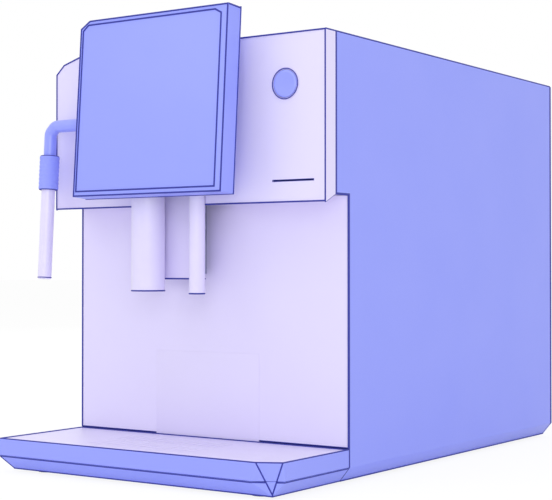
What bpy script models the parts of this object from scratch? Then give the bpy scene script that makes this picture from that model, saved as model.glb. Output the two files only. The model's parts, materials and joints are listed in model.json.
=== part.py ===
"""Counter-top bean-to-cup coffee machine: screen on a tilting hinge, sliding outlets, swinging steam wand.

Axes while modelling: x across from the centre line, y back from the head's front face, z up from the counter.
The empty "machine" then moves everything so that the origin is under the middle of the whole object.
"""

import math

import bmesh
import bpy
from mathutils import Matrix, Vector

for old in list(bpy.data.objects):
    bpy.data.objects.remove(old)

# ---- Driving sizes, in metres ------------------------------------------------------------------

WIDTH = 0.396
DEPTH = 0.600  # head front to rear panel
HEIGHT = 0.500
SEAM = 0.0003  # gap between pieces that touch
SHEET = 0.002  # folded sheet of the housing
PAST = 0.01  # how far a cutter reaches past a face, and a joined block into its neighbour
LAP = 0.001  # the smaller overlap of two joined shapes

HEAD_DROP = 0.1875  # height of the head's front
HEAD_WALL = 0.003
LIP_RISE = 0.009  # slope under the head's front edge
STRIP = 0.0195  # depth of the head's side strip
RECESS = 0.0475  # how far the cup niche's wall lies behind the head's front
# left top facets: in from the side, down from the top
SHOULDERS = ((0.0, 0.020), (0.0125, 0.0085), (0.043, 0.0))
COVER_SKIRT = 0.006  # the top cover's upright edge below the left facets

FOOT_RISE = 0.004
FOOT_RADIUS = 0.015
FOOT_STUD = 0.004
BAND_HEIGHT = 0.0197  # top of the tapered plinth
TAPER = 0.01275  # how far the plinth leans in over its height
PLINTH_WALL = 0.0023
PLINTH_ROOM = 0.003  # between the plinth's rear floor and the side panels

TRAY_REACH = 0.096  # the tray's front edge, ahead of the head's front
TRAY_TOP = 0.0395
TRAY_WALL = 0.002
TRAY_FLOOR = 0.0025
TRAY_LEDGE = 0.007  # width of the ledge that carries the grid
FACET_FRONT = 0.026  # the corner facet's ends, measured from the tray's front right corner
FACET_SIDE = 0.014
GRID_THICK = 0.0028
GRID_SLOT = (0.0025, 0.036)
GRID_ROWS = 2
GRID_COLUMNS = 13
GRID_PITCH = 0.012

BIN_WIDTH = 0.150
BIN_DEPTH = 0.152
BIN_TOP = 0.140
BIN_WALL = 0.002
CARRIER_WIDTH = 0.180  # the tray's rear plate, which carries the bin

SCREEN_WIDTH = 0.216
SCREEN_HEIGHT = 0.2083
SCREEN_THICK = 0.0251
SCREEN_LEFT = -0.1151
SCREEN_LEAN = math.radians(3.9)
SCREEN_PIVOT = (-0.0125, -0.030)  # y, and z below the machine's top
SCREEN_FACE = 0.0374  # pivot to the front face
SCREEN_ABOVE = 0.059  # pivot to the screen's top edge
SCREEN_CHAMFER = (0.0137, 0.009)
SCREEN_WALL = 0.0025
GLASS_THICK = 0.0016
GLASS_MARGINS = (0.0045, 0.0097, 0.0057, 0.0065)  # left, right, top, bottom
GLASS_CHAMFERS = ((0.0075, 0.0065), (0.0085, 0.0045))  # top left, top right
HINGE_PIN = 0.0025
HINGE_KNUCKLE = 0.006
KNUCKLE_HALF = 0.005  # half the length of a knuckle, on the screen and on the lid

BUTTON_X = 0.1454
BUTTON_DROP = 0.0562  # below the machine's top
BUTTON_RADIUS = 0.0155
BUTTON_PROUD = 0.0028
BUTTON_TRAVEL = 0.003
BEZEL_WALL = 0.001
BEZEL_LIP = 0.001
BEZEL_DEPTH = 0.022
SLOT_X = 0.155
SLOT_RISE = 0.0245  # above the head's lower edge
SLOT_SIZE = (0.055, 0.0024)

COFFEE_X = -0.0472
COFFEE_RADIUS = 0.0197
WATER_X = 0.0253
WATER_RADIUS = 0.00915
OUTLET_Y = -0.004
OUTLET_WALL = 0.0015
OUTLET_TOP = 0.0875  # above the head's lower edge
COFFEE_LOW = 0.0989  # below the head's lower edge
WATER_LOW = 0.1017
PLATE_LOW = 0.0848
PLATE_GAP = 0.0023  # the plate's front, behind the coffee outlet
PLATE_THICK = 0.006
PLATE_LEFT = 0.013  # its left edge, out from the coffee outlet's centre
PLATE_SHORT = 0.0098  # the plate's right edge, in from the hot-water outlet's centre
NOTCH_HEIGHT = 0.108  # above the head's lower edge
NOTCH_ROOM = 0.0005
RAIL_X = -0.0125
RAIL_HALF = 0.0175
# gap, rail head and the shoe's lips, as shares of the room behind the plate
RAIL_SHARES = (0.255, 0.426, 0.234)
RAIL_NECK = 0.0125
SHOE_LENGTH = 0.060  # of the slider on the rail
SHOE_CHEEK = 0.0065  # its wall on each side of the rail

WAND_Y = -0.022
WAND_DROP = 0.0872  # its pivot, below the machine's top
WAND_INSET = 0.012  # its centre line, in from the left side
WAND_SWING = math.radians(3.4)
ARM_RADIUS = 0.0075
ARM_BEND = 0.008
GRIP_RADIUS = 0.012
GRIP_SPAN = (0.0363, 0.0768)  # below the pivot
TUBE_RADIUS = 0.00825
TUBE_LOW = 0.1858
TUBE_BORE = 0.003
BOSS = (0.0165, 0.031, 0.026)
BOSS_INSET = 0.0635  # its left face, in from the left side
STEM_RADIUS = 0.004

HOPPER_X = (-0.027, 0.167)
HOPPER_Y = (0.093, 0.227)
HOPPER_DEEP = 0.075
HOPPER_WALL = 0.002
THROAT_RADIUS = 0.018
LID_THICK = 0.005
LID_LAP = 0.005
LID_PIN = 0.0015

GRINDER = (0.085, 0.160)
GRINDER_RADIUS = 0.045
GRINDER_WALL = 0.003
GRINDER_SPAN = (0.098, 0.168)  # top and bottom, below the machine's top
SHAFT_RADIUS = 0.006
MOTOR_RADIUS = 0.036
MOTOR_LENGTH = 0.115

BREW = (-0.060, 0.150)
BREW_BORE = 0.0225
BREW_WALL = 0.0055
BREW_SPAN = (0.155, 0.248)  # chamber top and bottom, below the machine's top
SPINDLE_Y = 0.200
SPINDLE_RADIUS = 0.0045

BULKHEAD_Y = 0.298
SHELF_Z = 0.100
SHELF_SHORT = 0.060  # the shelf ends this far ahead of the rear panel
BOILER_STUB = 0.010
STEAM_BOILER = (-0.100, 0.430, 0.055, 0.240)  # x, y, radius, length
COFFEE_BOILER = (0.030, 0.430, 0.040, 0.180)
PUMP = (0.120, 0.420, 0.025, 0.110)
CONTROL_BOX = (0.095, 0.172, 0.330, 0.530, 0.200)  # left, right, front, back, height above the shelf
BOX_WALL = 0.0015
HOSE_RADIUS = 0.004
FAN = (-0.100, 0.080, 0.092, 0.025)  # x, drop below the top, side and depth
FAN_BLADES = 7
VENT_SLOT = (0.020, 0.150, 0.004)  # left, right and height of a slot in the rear panel
VENT_ROWS = 8
VENT_PITCH = 0.012
VENT_RISE = 0.060  # the lowest slot, above the shelf
INLET = (0.115, 0.064, 0.090, 0.032)  # x, z, width, height of the power module
SOCKET = (0.131, 0.0277, 0.0198)  # x, width, height of its plug recess
ROCKER_X = 0.085
ROCKER = (0.0185, 0.0245)  # width and height
WATER_INLET = (-0.130, 0.060, 0.0125)  # x, z, radius

HALF = WIDTH / 2
HEAD_Z = HEIGHT - HEAD_DROP
UNDERSIDE = HEAD_Z + LIP_RISE
INNER = HALF - SHEET - SEAM  # what fits between the side panels
REAR = DEPTH - SHEET

# ---- Collections, frames and materials ---------------------------------------------------------

PARTS = bpy.data.collections.new("coffee_machine")
CUTTERS = bpy.data.collections.new("cutters")
for group in (PARTS, CUTTERS):
    bpy.context.scene.collection.children.link(group)


def frame_empty(name, place, tilt=0.0, parent=None):
    """An empty that carries pieces, turned about x."""
    empty = bpy.data.objects.new(name, None)
    PARTS.objects.link(empty)
    empty.location = place
    empty.rotation_euler.x = tilt
    empty.parent = parent
    return empty


MACHINE = frame_empty("machine", (0, (TRAY_REACH - DEPTH) / 2, 0))
SCREEN_AXIS = frame_empty(
    "screen_axis", (0, SCREEN_PIVOT[0], HEIGHT + SCREEN_PIVOT[1]), -SCREEN_LEAN, MACHINE
)
WAND_AXIS = frame_empty("wand_axis", (WAND_INSET - HALF, WAND_Y, HEIGHT - WAND_DROP), -WAND_SWING, MACHINE)
ROCKER_TILT = math.radians(8)
ROCKER_AXIS = frame_empty("rocker_axis", (ROCKER_X, DEPTH - 0.006, INLET[1]), ROCKER_TILT, MACHINE)


def linear(hex_colour):
    """sRGB hex digits to the linear colour that Blender's shaders take."""
    channels = [int(hex_colour[i : i + 2], 16) / 255 for i in (0, 2, 4)]
    return [c / 12.92 if c <= 0.04045 else ((c + 0.055) / 1.055) ** 2.4 for c in channels]


def finish(name, hex_colour, roughness, metallic=0.0):
    material = bpy.data.materials.new(name)
    material.use_nodes = True
    shader = material.node_tree.nodes["Principled BSDF"]
    shader.inputs["Base Color"].default_value = (*linear(hex_colour), 1)
    shader.inputs["Roughness"].default_value = roughness
    shader.inputs["Metallic"].default_value = metallic
    return material


PANEL = finish("powder_coated_panel", "99A3FF", 0.45)
PALE = finish("pale_moulding", "E7E1FF", 0.4)
DARK = finish("indigo_rubber", "2B329F", 0.6)
GLASS = finish("screen_glass", "99A3FF", 0.12)
STEEL = finish("stainless_steel", "C9CCD2", 0.3, 1.0)
BRASS = finish("brass", "B59A5B", 0.35, 1.0)
BLACK = finish("black_plastic", "22242A", 0.5)
SMOKE = finish("smoke_plastic", "6F74A8", 0.2)
ZINC = finish("zinc_plated_sheet", "B4B8BF", 0.45, 0.8)

# ---- Modelling helpers -------------------------------------------------------------------------


def add_piece(name, mesh, material, parent=MACHINE):
    piece = bpy.data.objects.new(name, mesh)
    PARTS.objects.link(piece)
    piece.parent = parent
    if material:
        mesh.materials.clear()
        mesh.materials.append(material)
    return piece


def block(name, low, high, material=None, parent=MACHINE):
    """A box between two corners; its origin is its centre."""
    low, high = Vector(low), Vector(high)
    shape = bmesh.new()
    bmesh.ops.create_cube(shape, size=1, matrix=Matrix.Diagonal((*(high - low), 1)))
    mesh = bpy.data.meshes.new(name)
    shape.to_mesh(mesh)
    shape.free()
    piece = add_piece(name, mesh, material, parent)
    piece.location = (low + high) / 2
    return piece


def tapered_block(name, low, high, lower_inset, material=None):
    """A box whose bottom face is drawn in by (left, right, front, back)."""
    piece = block(name, low, high, material)
    left, right, front, back = lower_inset
    for vertex in piece.data.vertices:
        if vertex.co.z < 0:
            vertex.co.x += left if vertex.co.x < 0 else -right
            vertex.co.y += front if vertex.co.y < 0 else -back
    return piece


def rod(name, radius, start, end, material=None, parent=MACHINE, segments=32):
    """A cylinder from one point to another."""
    start, end = Vector(start), Vector(end)
    shape = bmesh.new()
    bmesh.ops.create_cone(
        shape, cap_ends=True, segments=segments, radius1=radius, radius2=radius, depth=(end - start).length
    )
    mesh = bpy.data.meshes.new(name)
    shape.to_mesh(mesh)
    shape.free()
    mesh.shade_smooth()
    mesh.set_sharp_from_angle(angle=math.radians(40))
    piece = add_piece(name, mesh, material, parent)
    piece.location = (start + end) / 2
    piece.rotation_euler = (end - start).to_track_quat("Z", "Y").to_euler()
    return piece


def turned(name, profile, base, material=None, parent=MACHINE, tilt=0.0, segments=32):
    """A profile of (radius, height) points, down the outer side, turned about an upright axis at base.

    A profile whose ends are off the axis is closed into a ring.
    """
    mesh = bpy.data.meshes.new(name)
    count = len(profile)
    ring = profile[0][0] > 0
    edges = [(i, (i + 1) % count) for i in range(count if ring else count - 1)]
    mesh.from_pydata([(radius, 0, height) for radius, height in profile], edges, [])
    piece = add_piece(name, mesh, material, parent)
    piece.location = base
    piece.rotation_euler.x = tilt
    screw = piece.modifiers.new("turn", "SCREW")
    screw.steps = screw.render_steps = segments
    screw.use_merge_vertices = True
    screw.merge_threshold = 1e-5
    screw.use_smooth_shade = True
    return piece


TURNS = {"xy": (0, 0, 0), "xz": (math.pi / 2, 0, 0), "yz": (math.pi / 2, 0, math.pi / 2)}


def prism(name, outline, plane, start, end, material=None, parent=MACHINE):
    """A flat outline in the named plane, filled and extruded between two places on the third axis."""
    curve = bpy.data.curves.new(name + "_outline", "CURVE")
    curve.dimensions = "2D"
    curve.fill_mode = "BOTH"
    curve.extrude = (end - start) / 2
    spline = curve.splines.new("POLY")
    spline.points.add(len(outline) - 1)
    for point, (u, v) in zip(spline.points, outline):
        point.co = (u, v, 0, 1)
    spline.use_cyclic_u = True
    guide = bpy.data.objects.new(name + "_outline", curve)
    PARTS.objects.link(guide)
    graph = bpy.context.evaluated_depsgraph_get()
    mesh = bpy.data.meshes.new_from_object(guide.evaluated_get(graph))
    bpy.data.objects.remove(guide)
    shape = bmesh.new()
    shape.from_mesh(mesh)
    bmesh.ops.remove_doubles(shape, verts=shape.verts, dist=1e-6)
    bmesh.ops.dissolve_limit(shape, angle_limit=0.001, verts=shape.verts, edges=shape.edges)
    bmesh.ops.recalc_face_normals(shape, faces=shape.faces)
    shape.to_mesh(mesh)
    shape.free()
    mesh.name = name
    piece = add_piece(name, mesh, material, parent)
    middle = (start + end) / 2
    piece.location = {"xy": (0, 0, middle), "xz": (0, middle, 0), "yz": (middle, 0, 0)}[plane]
    piece.rotation_euler = TURNS[plane]
    return piece


def tube(name, points, radius, material, parent=MACHINE, resolution=3):
    """A round tube along straight runs between points."""
    curve = bpy.data.curves.new(name, "CURVE")
    curve.dimensions = "3D"
    curve.bevel_depth = radius
    curve.bevel_resolution = resolution
    curve.use_fill_caps = True
    spline = curve.splines.new("POLY")
    spline.points.add(len(points) - 1)
    for point, place in zip(spline.points, points):
        point.co = (*place, 1)
    curve.materials.append(material)
    piece = bpy.data.objects.new(name, curve)
    PARTS.objects.link(piece)
    piece.parent = parent
    return piece


def smooth_route(route, spacing):
    """Points along a Catmull-Rom curve through the route's own points."""
    ends = [2 * Vector(route[0]) - Vector(route[1]), 2 * Vector(route[-1]) - Vector(route[-2])]
    knots = [ends[0], *map(Vector, route), ends[1]]
    points = []
    for before, start, end, after in zip(knots, knots[1:], knots[2:], knots[3:]):
        steps = max(1, round((end - start).length / spacing))
        for step in range(steps):
            t = step / steps
            points.append(
                0.5
                * (
                    2 * start
                    + (end - before) * t
                    + (2 * before - 5 * start + 4 * end - after) * t * t
                    + (3 * start - before - 3 * end + after) * t**3
                )
            )
    return [*points, Vector(route[-1])]


def as_helper(piece):
    PARTS.objects.unlink(piece)
    CUTTERS.objects.link(piece)
    piece.hide_render = True
    piece.display_type = "WIRE"
    return piece


def boolean(piece, operation, tools):
    for tool in tools:
        modifier = piece.modifiers.new(operation.lower(), "BOOLEAN")
        modifier.operation = operation
        modifier.solver = "EXACT"
        modifier.object = as_helper(tool)
    return piece


def cut(piece, *tools):
    return boolean(piece, "DIFFERENCE", tools)


def join(piece, *tools):
    return boolean(piece, "UNION", tools)


def shrunk(outline, by):
    """A convex anticlockwise outline with every side moved in by the same distance."""
    corners = [Vector(point) for point in outline]
    runs = [(b - a).normalized() for a, b in zip(corners, corners[1:] + corners[:1])]
    sides = [Vector((-run.y, run.x)) for run in runs]
    return [
        tuple(here + by * (one + two) / (1 + one.dot(two)))
        for here, one, two in zip(corners, [sides[-1], *sides], sides)
    ]


def bent_sheet(path, thickness):
    """The outline of a folded sheet: the path is its outer face, and the sheet lies to the right of it."""
    path = [Vector(point) for point in path]
    runs = [(b - a).normalized() for a, b in zip(path, path[1:])]
    sides = [Vector((run.y, -run.x)) for run in runs]
    inner = [path[0] + thickness * sides[0]]
    for here, one, two in zip(path[1:], sides, sides[1:]):
        inner.append(here + thickness * (one + two) / (1 + one.dot(two)))
    inner.append(path[-1] + thickness * sides[-1])
    return [tuple(point) for point in (*path, *reversed(inner))]


def shoulder_points():
    """The left top facets from the side up to the top, as (x, z)."""
    return [(-HALF + across, HEIGHT - down) for across, down in SHOULDERS]


def body_outline(bottom):
    """The body's front view, anticlockwise, down to the given height."""
    lower, middle, upper = shoulder_points()
    return [(-HALF, bottom), (HALF, bottom), (HALF, HEIGHT), upper, middle, lower]


# ---- Housing -----------------------------------------------------------------------------------

plinth_inset = HALF - TAPER
foot_places = [(side * (HALF - 0.043), y) for y in (0.040 - TRAY_REACH, DEPTH - 0.050) for side in (-1, 1)]


def facet_wedge(inset):
    """The space in front of the tray's front right corner facet, moved in by a wall's thickness."""
    right, front = HALF, -TRAY_REACH
    upper_front = Vector((right - FACET_FRONT, front, TRAY_TOP))
    upper_side = Vector((right, front + FACET_SIDE, TRAY_TOP))
    foot = Vector((right - TAPER, front + TAPER, FOOT_RISE))
    normal = (upper_side - upper_front).cross(foot - upper_front).normalized()
    if normal.y > 0:
        normal.negate()
    size = 4 * TRAY_TOP
    wedge = block("facet_wedge", (-size, -size, 0), (size, size, size))
    wedge.rotation_euler = normal.to_track_quat("Z", "Y").to_euler()
    wedge.location = (upper_front + upper_side + foot) / 3 + normal * (size / 2 - inset)
    return wedge


def build_plinth():
    """One tray-shaped base: its front carries the drip tray, its rear fits between the side panels."""
    front_rim = RECESS - SEAM
    base = tapered_block(
        "base_pan",
        (-HALF, -TRAY_REACH, FOOT_RISE),
        (HALF, front_rim, BAND_HEIGHT),
        (TAPER, TAPER, TAPER, 0),
        PANEL,
    )
    rear_half = plinth_inset - SHEET - PLINTH_ROOM
    rear = block(
        "rear_floor", (-rear_half, front_rim - PAST, FOOT_RISE), (rear_half, REAR - 0.004, BAND_HEIGHT - SEAM)
    )
    well_half = rear_half - PLINTH_WALL
    floor = FOOT_RISE + PLINTH_WALL
    well = block(
        "base_well",
        (-well_half, TAPER + PLINTH_WALL - TRAY_REACH, floor),
        (well_half, REAR - 0.004 - PLINTH_WALL, BAND_HEIGHT + PAST),
    )
    join(base, rear)
    cut(base, well)
    carrier_half = CARRIER_WIDTH / 2
    for side in (-1, 1):
        inner, outer = sorted((side * (carrier_half - 0.006), side * (carrier_half + 0.004)))
        rail = block(
            "tray_rail", (inner, RECESS, floor - 0.001), (outer, RECESS + BIN_DEPTH, BAND_HEIGHT - SEAM)
        )
        join(base, rail)
    for x, y in foot_places:
        cut(base, rod("stud_hole", FOOT_STUD + SEAM, (x, y, 0), (x, y, floor + PAST), segments=16))
    cut(base, facet_wedge(0))


def build_feet():
    names = [f"foot_{end}_{side}" for end in ("front", "rear") for side in ("left", "right")]
    pad = FOOT_RISE - SEAM
    profile = [
        (0, 0.011),
        (FOOT_STUD, 0.011),
        (FOOT_STUD, pad),
        (FOOT_RADIUS, pad),
        (FOOT_RADIUS - 0.0015, 0),
        (0, 0),
    ]
    for name, (x, y) in zip(names, foot_places):
        turned(name, profile, (x, y, 0), DARK, segments=24)


def build_side_panels():
    """Folded sheets: upright down to the plinth's band, then leaning in with it."""
    start, end = STRIP, REAR - SEAM
    shoulder_z = shoulder_points()[0][1]
    edge_right = [(HALF, HEIGHT), (HALF, BAND_HEIGHT), (plinth_inset, FOOT_RISE)]
    edge_left = [(-plinth_inset, FOOT_RISE), (-HALF, BAND_HEIGHT), (-HALF, shoulder_z - COVER_SKIRT - SEAM)]
    for name, path in (("right_side_panel", edge_right), ("left_side_panel", edge_left)):
        panel = prism(name, bent_sheet(path, SHEET), "xz", start, end, PANEL)
        niche = block("niche_cut", (-WIDTH, start - PAST, -PAST), (WIDTH, RECESS, UNDERSIDE))
        cut(panel, niche)


def build_top_cover():
    """Spans the panels and folds down over the left shoulder, with the hopper's opening."""
    lower = shoulder_points()[0]
    path = [(lower[0], lower[1] - COVER_SKIRT), *shoulder_points(), (INNER, HEIGHT)]
    cover = prism("top_cover", bent_sheet(path, SHEET), "xz", STRIP, REAR - SEAM, PANEL)
    lip = HOPPER_WALL + 0.001
    opening = block(
        "hopper_opening",
        (HOPPER_X[0] + lip, HOPPER_Y[0] + lip, HEIGHT - PAST),
        (HOPPER_X[1] - lip, HOPPER_Y[1] - lip, HEIGHT + PAST),
    )
    cut(cover, opening)
    pin_y, pin_z = lid_pin_place()
    for x in knuckle_places()[1]:
        ends = [(x - KNUCKLE_HALF, pin_y, pin_z), (x + KNUCKLE_HALF, pin_y, pin_z)]
        ear = rod("cover_knuckle", LID_THICK / 2, *ends, segments=20)
        foot = block(
            "cover_ear",
            (x - KNUCKLE_HALF, pin_y - 0.0015, HEIGHT - LAP),
            (x + KNUCKLE_HALF, pin_y + 0.0015, pin_z),
        )
        join(cover, foot, ear)
    cut(cover, lid_pin_hole())


def lid_pin_place():
    return HOPPER_Y[1] + LID_LAP + 0.007, HEIGHT + SEAM + LID_THICK / 2 + 0.0008


def knuckle_places():
    """Centres of the lid's two knuckles, and of the cover's two beside them."""
    middle = sum(HOPPER_X) / 2
    lid = [middle - 0.040, middle + 0.040]
    return lid, [x + 0.0108 for x in lid]


def lid_pin_hole():
    y, z = lid_pin_place()
    x = sum(HOPPER_X) / 2
    return rod("lid_pin_hole", LID_PIN + SEAM, (x - 0.08, y, z), (x + 0.08, y, z), segments=16)


def rear_outline():
    lower, middle, upper = shoulder_points()
    return [
        (-plinth_inset, FOOT_RISE),
        (plinth_inset, FOOT_RISE),
        (HALF, BAND_HEIGHT),
        (HALF, HEIGHT),
        upper,
        middle,
        lower,
        (-HALF, BAND_HEIGHT),
    ]


def build_rear_panel():
    panel = prism("rear_panel", rear_outline(), "xz", REAR, DEPTH, PANEL)
    back, front = DEPTH + PAST, REAR - PAST
    fan_x, fan_z = FAN[0], HEIGHT - FAN[1]
    bore = FAN[2] / 2 - 0.004
    fan_ring = turned(
        "fan_opening",
        [(bore, 0.02), (bore, -0.02), (bore * 0.38, -0.02), (bore * 0.38, 0.02)],
        (fan_x, REAR, fan_z),
        tilt=math.pi / 2,
    )
    for angle in range(0, 180, 45):
        spoke = block("fan_spoke", (-bore * 1.2, -0.002, -0.03), (bore * 1.2, 0.002, 0.03))
        spoke.location = (fan_x, REAR, fan_z)
        spoke.rotation_euler = (math.pi / 2, math.radians(angle), 0)
        cut(fan_ring, spoke)
    width, height = INLET[2], INLET[3]
    inlet = block(
        "inlet_opening",
        (INLET[0] - width / 2, front, INLET[1] - height / 2),
        (INLET[0] + width / 2, back, INLET[1] + height / 2),
    )
    water_x, water_z, water_radius = WATER_INLET
    water = rod("water_opening", water_radius + 0.001, (water_x, front, water_z), (water_x, back, water_z))
    cut(panel, fan_ring, inlet, water)
    left, right, slot_high = VENT_SLOT
    for row in range(VENT_ROWS):
        z = SHELF_Z + VENT_RISE + row * VENT_PITCH
        cut(panel, block("vent_slot", (left, front, z), (right, back, z + slot_high)))


def build_head():
    """The head's moulded front: a shallow shell with a sloped lip, and a floor back to the niche wall."""
    head = prism("head_shell", body_outline(HEAD_Z), "xz", 0, STRIP - SEAM, PALE)
    hollow = prism("head_hollow", shrunk(body_outline(UNDERSIDE), HEAD_WALL), "xz", HEAD_WALL, STRIP + PAST)
    slope = [
        (-0.001, HEAD_Z - LIP_RISE),
        (STRIP, HEAD_Z - LIP_RISE),
        (STRIP, UNDERSIDE),
        (0, HEAD_Z),
        (-0.001, HEAD_Z),
    ]
    lip = prism("lip_slope", slope, "yz", -WIDTH, WIDTH)
    floor = block(
        "head_floor", (-INNER, STRIP - 0.005, UNDERSIDE), (INNER, RECESS - SEAM, UNDERSIDE + HEAD_WALL)
    )
    left = COFFEE_X - half_chord(COFFEE_RADIUS) - NOTCH_ROOM
    right = WATER_X + half_chord(WATER_RADIUS) + NOTCH_ROOM
    notch = block("outlet_notch", (left, -PAST, HEAD_Z - PAST), (right, RECESS + PAST, HEAD_Z + NOTCH_HEIGHT))
    button_z = HEIGHT - BUTTON_DROP
    button_radius = BUTTON_RADIUS + BEZEL_WALL + 2 * SEAM
    button = rod(
        "button_hole", button_radius, (BUTTON_X, -PAST, button_z), (BUTTON_X, PAST, button_z), segments=36
    )
    slot_z = HEAD_Z + SLOT_RISE
    slot = block(
        "card_slot",
        (SLOT_X - SLOT_SIZE[0] / 2, -PAST, slot_z - SLOT_SIZE[1] / 2),
        (SLOT_X + SLOT_SIZE[0] / 2, PAST, slot_z + SLOT_SIZE[1] / 2),
    )
    stem_x, stem_z = boss_stem()
    stem = rod("stem_hole", STEM_RADIUS + SEAM, (stem_x, -PAST, stem_z), (stem_x, PAST, stem_z), segments=20)
    cut(head, hollow, lip)
    join(head, floor)
    cut(head, notch, button, slot, stem)


def half_chord(radius):
    """Half the width of a round outlet where it crosses the head's front face."""
    return math.sqrt(radius**2 - OUTLET_Y**2)


def boss_stem():
    """x and z of the pipe that passes from the wand's boss into the head."""
    return BOSS_INSET - HALF + BOSS[0] / 2, HEIGHT - WAND_DROP


def build_recess_panel():
    """The niche's back wall, open at its foot for the grounds bin."""
    low = TRAY_TOP + 0.002
    panel = block("recess_panel", (-INNER, RECESS, low), (INNER, RECESS + HEAD_WALL, UNDERSIDE - SEAM), PALE)
    half = BIN_WIDTH / 2 + 0.0005
    cut(
        panel,
        block("bin_opening", (-half, RECESS - PAST, low - PAST), (half, RECESS + PAST, BIN_TOP + 0.0005)),
    )


def build_bulkhead():
    """The sheet that parts the wet front from the boilers, narrow at its foot to clear the leaning panels."""
    foot_half = plinth_inset - SHEET - PLINTH_ROOM - PLINTH_WALL - SEAM
    lower, middle, upper = shoulder_points()
    drop = SHEET + SEAM + 0.001
    outline = [
        (-foot_half, FOOT_RISE + PLINTH_WALL + SEAM),
        (foot_half, FOOT_RISE + PLINTH_WALL + SEAM),
        (foot_half, BAND_HEIGHT + 0.004),
        (INNER, BAND_HEIGHT + 0.008),
        (INNER, HEIGHT - drop),
        (upper[0], upper[1] - drop),
        (middle[0] + drop, middle[1] - drop),
        (-INNER, lower[1] - drop),
        (-INNER, BAND_HEIGHT + 0.008),
        (-foot_half, BAND_HEIGHT + 0.004),
    ]
    sheet = prism("mid_bulkhead", outline, "xz", BULKHEAD_Y, BULKHEAD_Y + SHEET, ZINC)
    for x, z in hose_gates():
        cut(sheet, rod("hose_gate", 0.011, (x, BULKHEAD_Y - PAST, z), (x, BULKHEAD_Y + 0.02, z), segments=24))


def hose_gates():
    """x and z of the two holes in the bulkhead: steam, and coffee water."""
    return (STEAM_BOILER[0], HEIGHT - 0.070), (COFFEE_BOILER[0] - 0.02, HEIGHT - 0.085)


# ---- Drip tray ---------------------------------------------------------------------------------


def build_tray():
    """A drawer: the band that shows in front, and a plate behind it that carries the grounds bin."""
    bottom = BAND_HEIGHT + SEAM
    back = RECESS - SEAM
    tray = block("drip_tray", (-HALF, -TRAY_REACH, bottom), (HALF, back, TRAY_TOP), PANEL)
    carrier = block(
        "carrier_plate",
        (-CARRIER_WIDTH / 2, back - 0.004, bottom),
        (CARRIER_WIDTH / 2, RECESS + BIN_DEPTH + 0.003, bottom + TRAY_FLOOR),
    )
    rim, ledge = TRAY_WALL, TRAY_WALL + TRAY_LEDGE
    seat = TRAY_TOP - GRID_THICK - 0.0005
    grid_bay = block(
        "grid_bay", (rim - HALF, rim - TRAY_REACH, seat), (HALF - rim, back - rim, TRAY_TOP + PAST)
    )
    basin = block(
        "basin",
        (ledge - HALF, ledge - TRAY_REACH, bottom + TRAY_FLOOR),
        (HALF - ledge, back - ledge, TRAY_TOP + PAST),
    )
    cut(grid_bay, facet_wedge(rim))
    cut(basin, facet_wedge(ledge))
    join(tray, carrier)
    cut(tray, grid_bay, basin, facet_wedge(0))


def build_grid():
    """The flat cup rest, with drain slots under the outlets."""
    edge = TRAY_WALL + SEAM
    top = TRAY_TOP - 0.0002
    grid = block(
        "drip_grid",
        (edge - HALF, edge - TRAY_REACH, top - GRID_THICK),
        (HALF - edge, RECESS - SEAM - edge, top),
        PALE,
    )
    cut(grid, facet_wedge(edge))
    slot_width, slot_length = GRID_SLOT
    middle_y = (RECESS - TRAY_REACH) / 2
    for row in range(GRID_ROWS):
        y = middle_y + (row - (GRID_ROWS - 1) / 2) * (slot_length + 0.010)
        for column in range(GRID_COLUMNS):
            x = (COFFEE_X + WATER_X) / 2 + (column - (GRID_COLUMNS - 1) / 2) * GRID_PITCH
            slot = block(
                "drain_slot",
                (x - slot_width / 2, y - slot_length / 2, top - PAST),
                (x + slot_width / 2, y + slot_length / 2, top + PAST),
            )
            cut(grid, slot)


def build_bin():
    bottom = BAND_HEIGHT + SEAM + TRAY_FLOOR + SEAM
    front = RECESS + SEAM
    half = BIN_WIDTH / 2
    grounds_bin = block("grounds_bin", (-half, front, bottom), (half, front + BIN_DEPTH, BIN_TOP), PALE)
    inside = block(
        "bin_inside",
        (BIN_WALL - half, front + BIN_WALL, bottom + BIN_WALL),
        (half - BIN_WALL, front + BIN_DEPTH - BIN_WALL, BIN_TOP + PAST),
    )
    cut(grounds_bin, inside)


# ---- Screen ------------------------------------------------------------------------------------
# Modelled about its hinge: x as on the machine, y back from the hinge, z up along the screen.

screen_right = SCREEN_LEFT + SCREEN_WIDTH
screen_middle = SCREEN_LEFT + SCREEN_WIDTH / 2
screen_bottom = SCREEN_ABOVE - SCREEN_HEIGHT
screen_back = SCREEN_THICK - SCREEN_FACE
lug_places = [screen_middle - 0.030, screen_middle + 0.030]
ear_places = [screen_middle - 0.018, screen_middle + 0.018]


def cornered(left, right, bottom, top, chamfers):
    """A rectangle with its two top corners cut off, anticlockwise; each chamfer is (across, down)."""
    (across_left, down_left), (across_right, down_right) = chamfers
    outline = [(left, bottom), (right, bottom), (right, top - down_right)]
    if across_right:
        outline.append((right - across_right, top))
    return [*outline, (left + across_left, top), (left, top - down_left)]


def glass_outline(gap):
    left, right, top, bottom = GLASS_MARGINS
    return cornered(
        SCREEN_LEFT + left - gap,
        screen_right - right + gap,
        screen_bottom + bottom - gap,
        SCREEN_ABOVE - top + gap,
        GLASS_CHAMFERS,
    )


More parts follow.
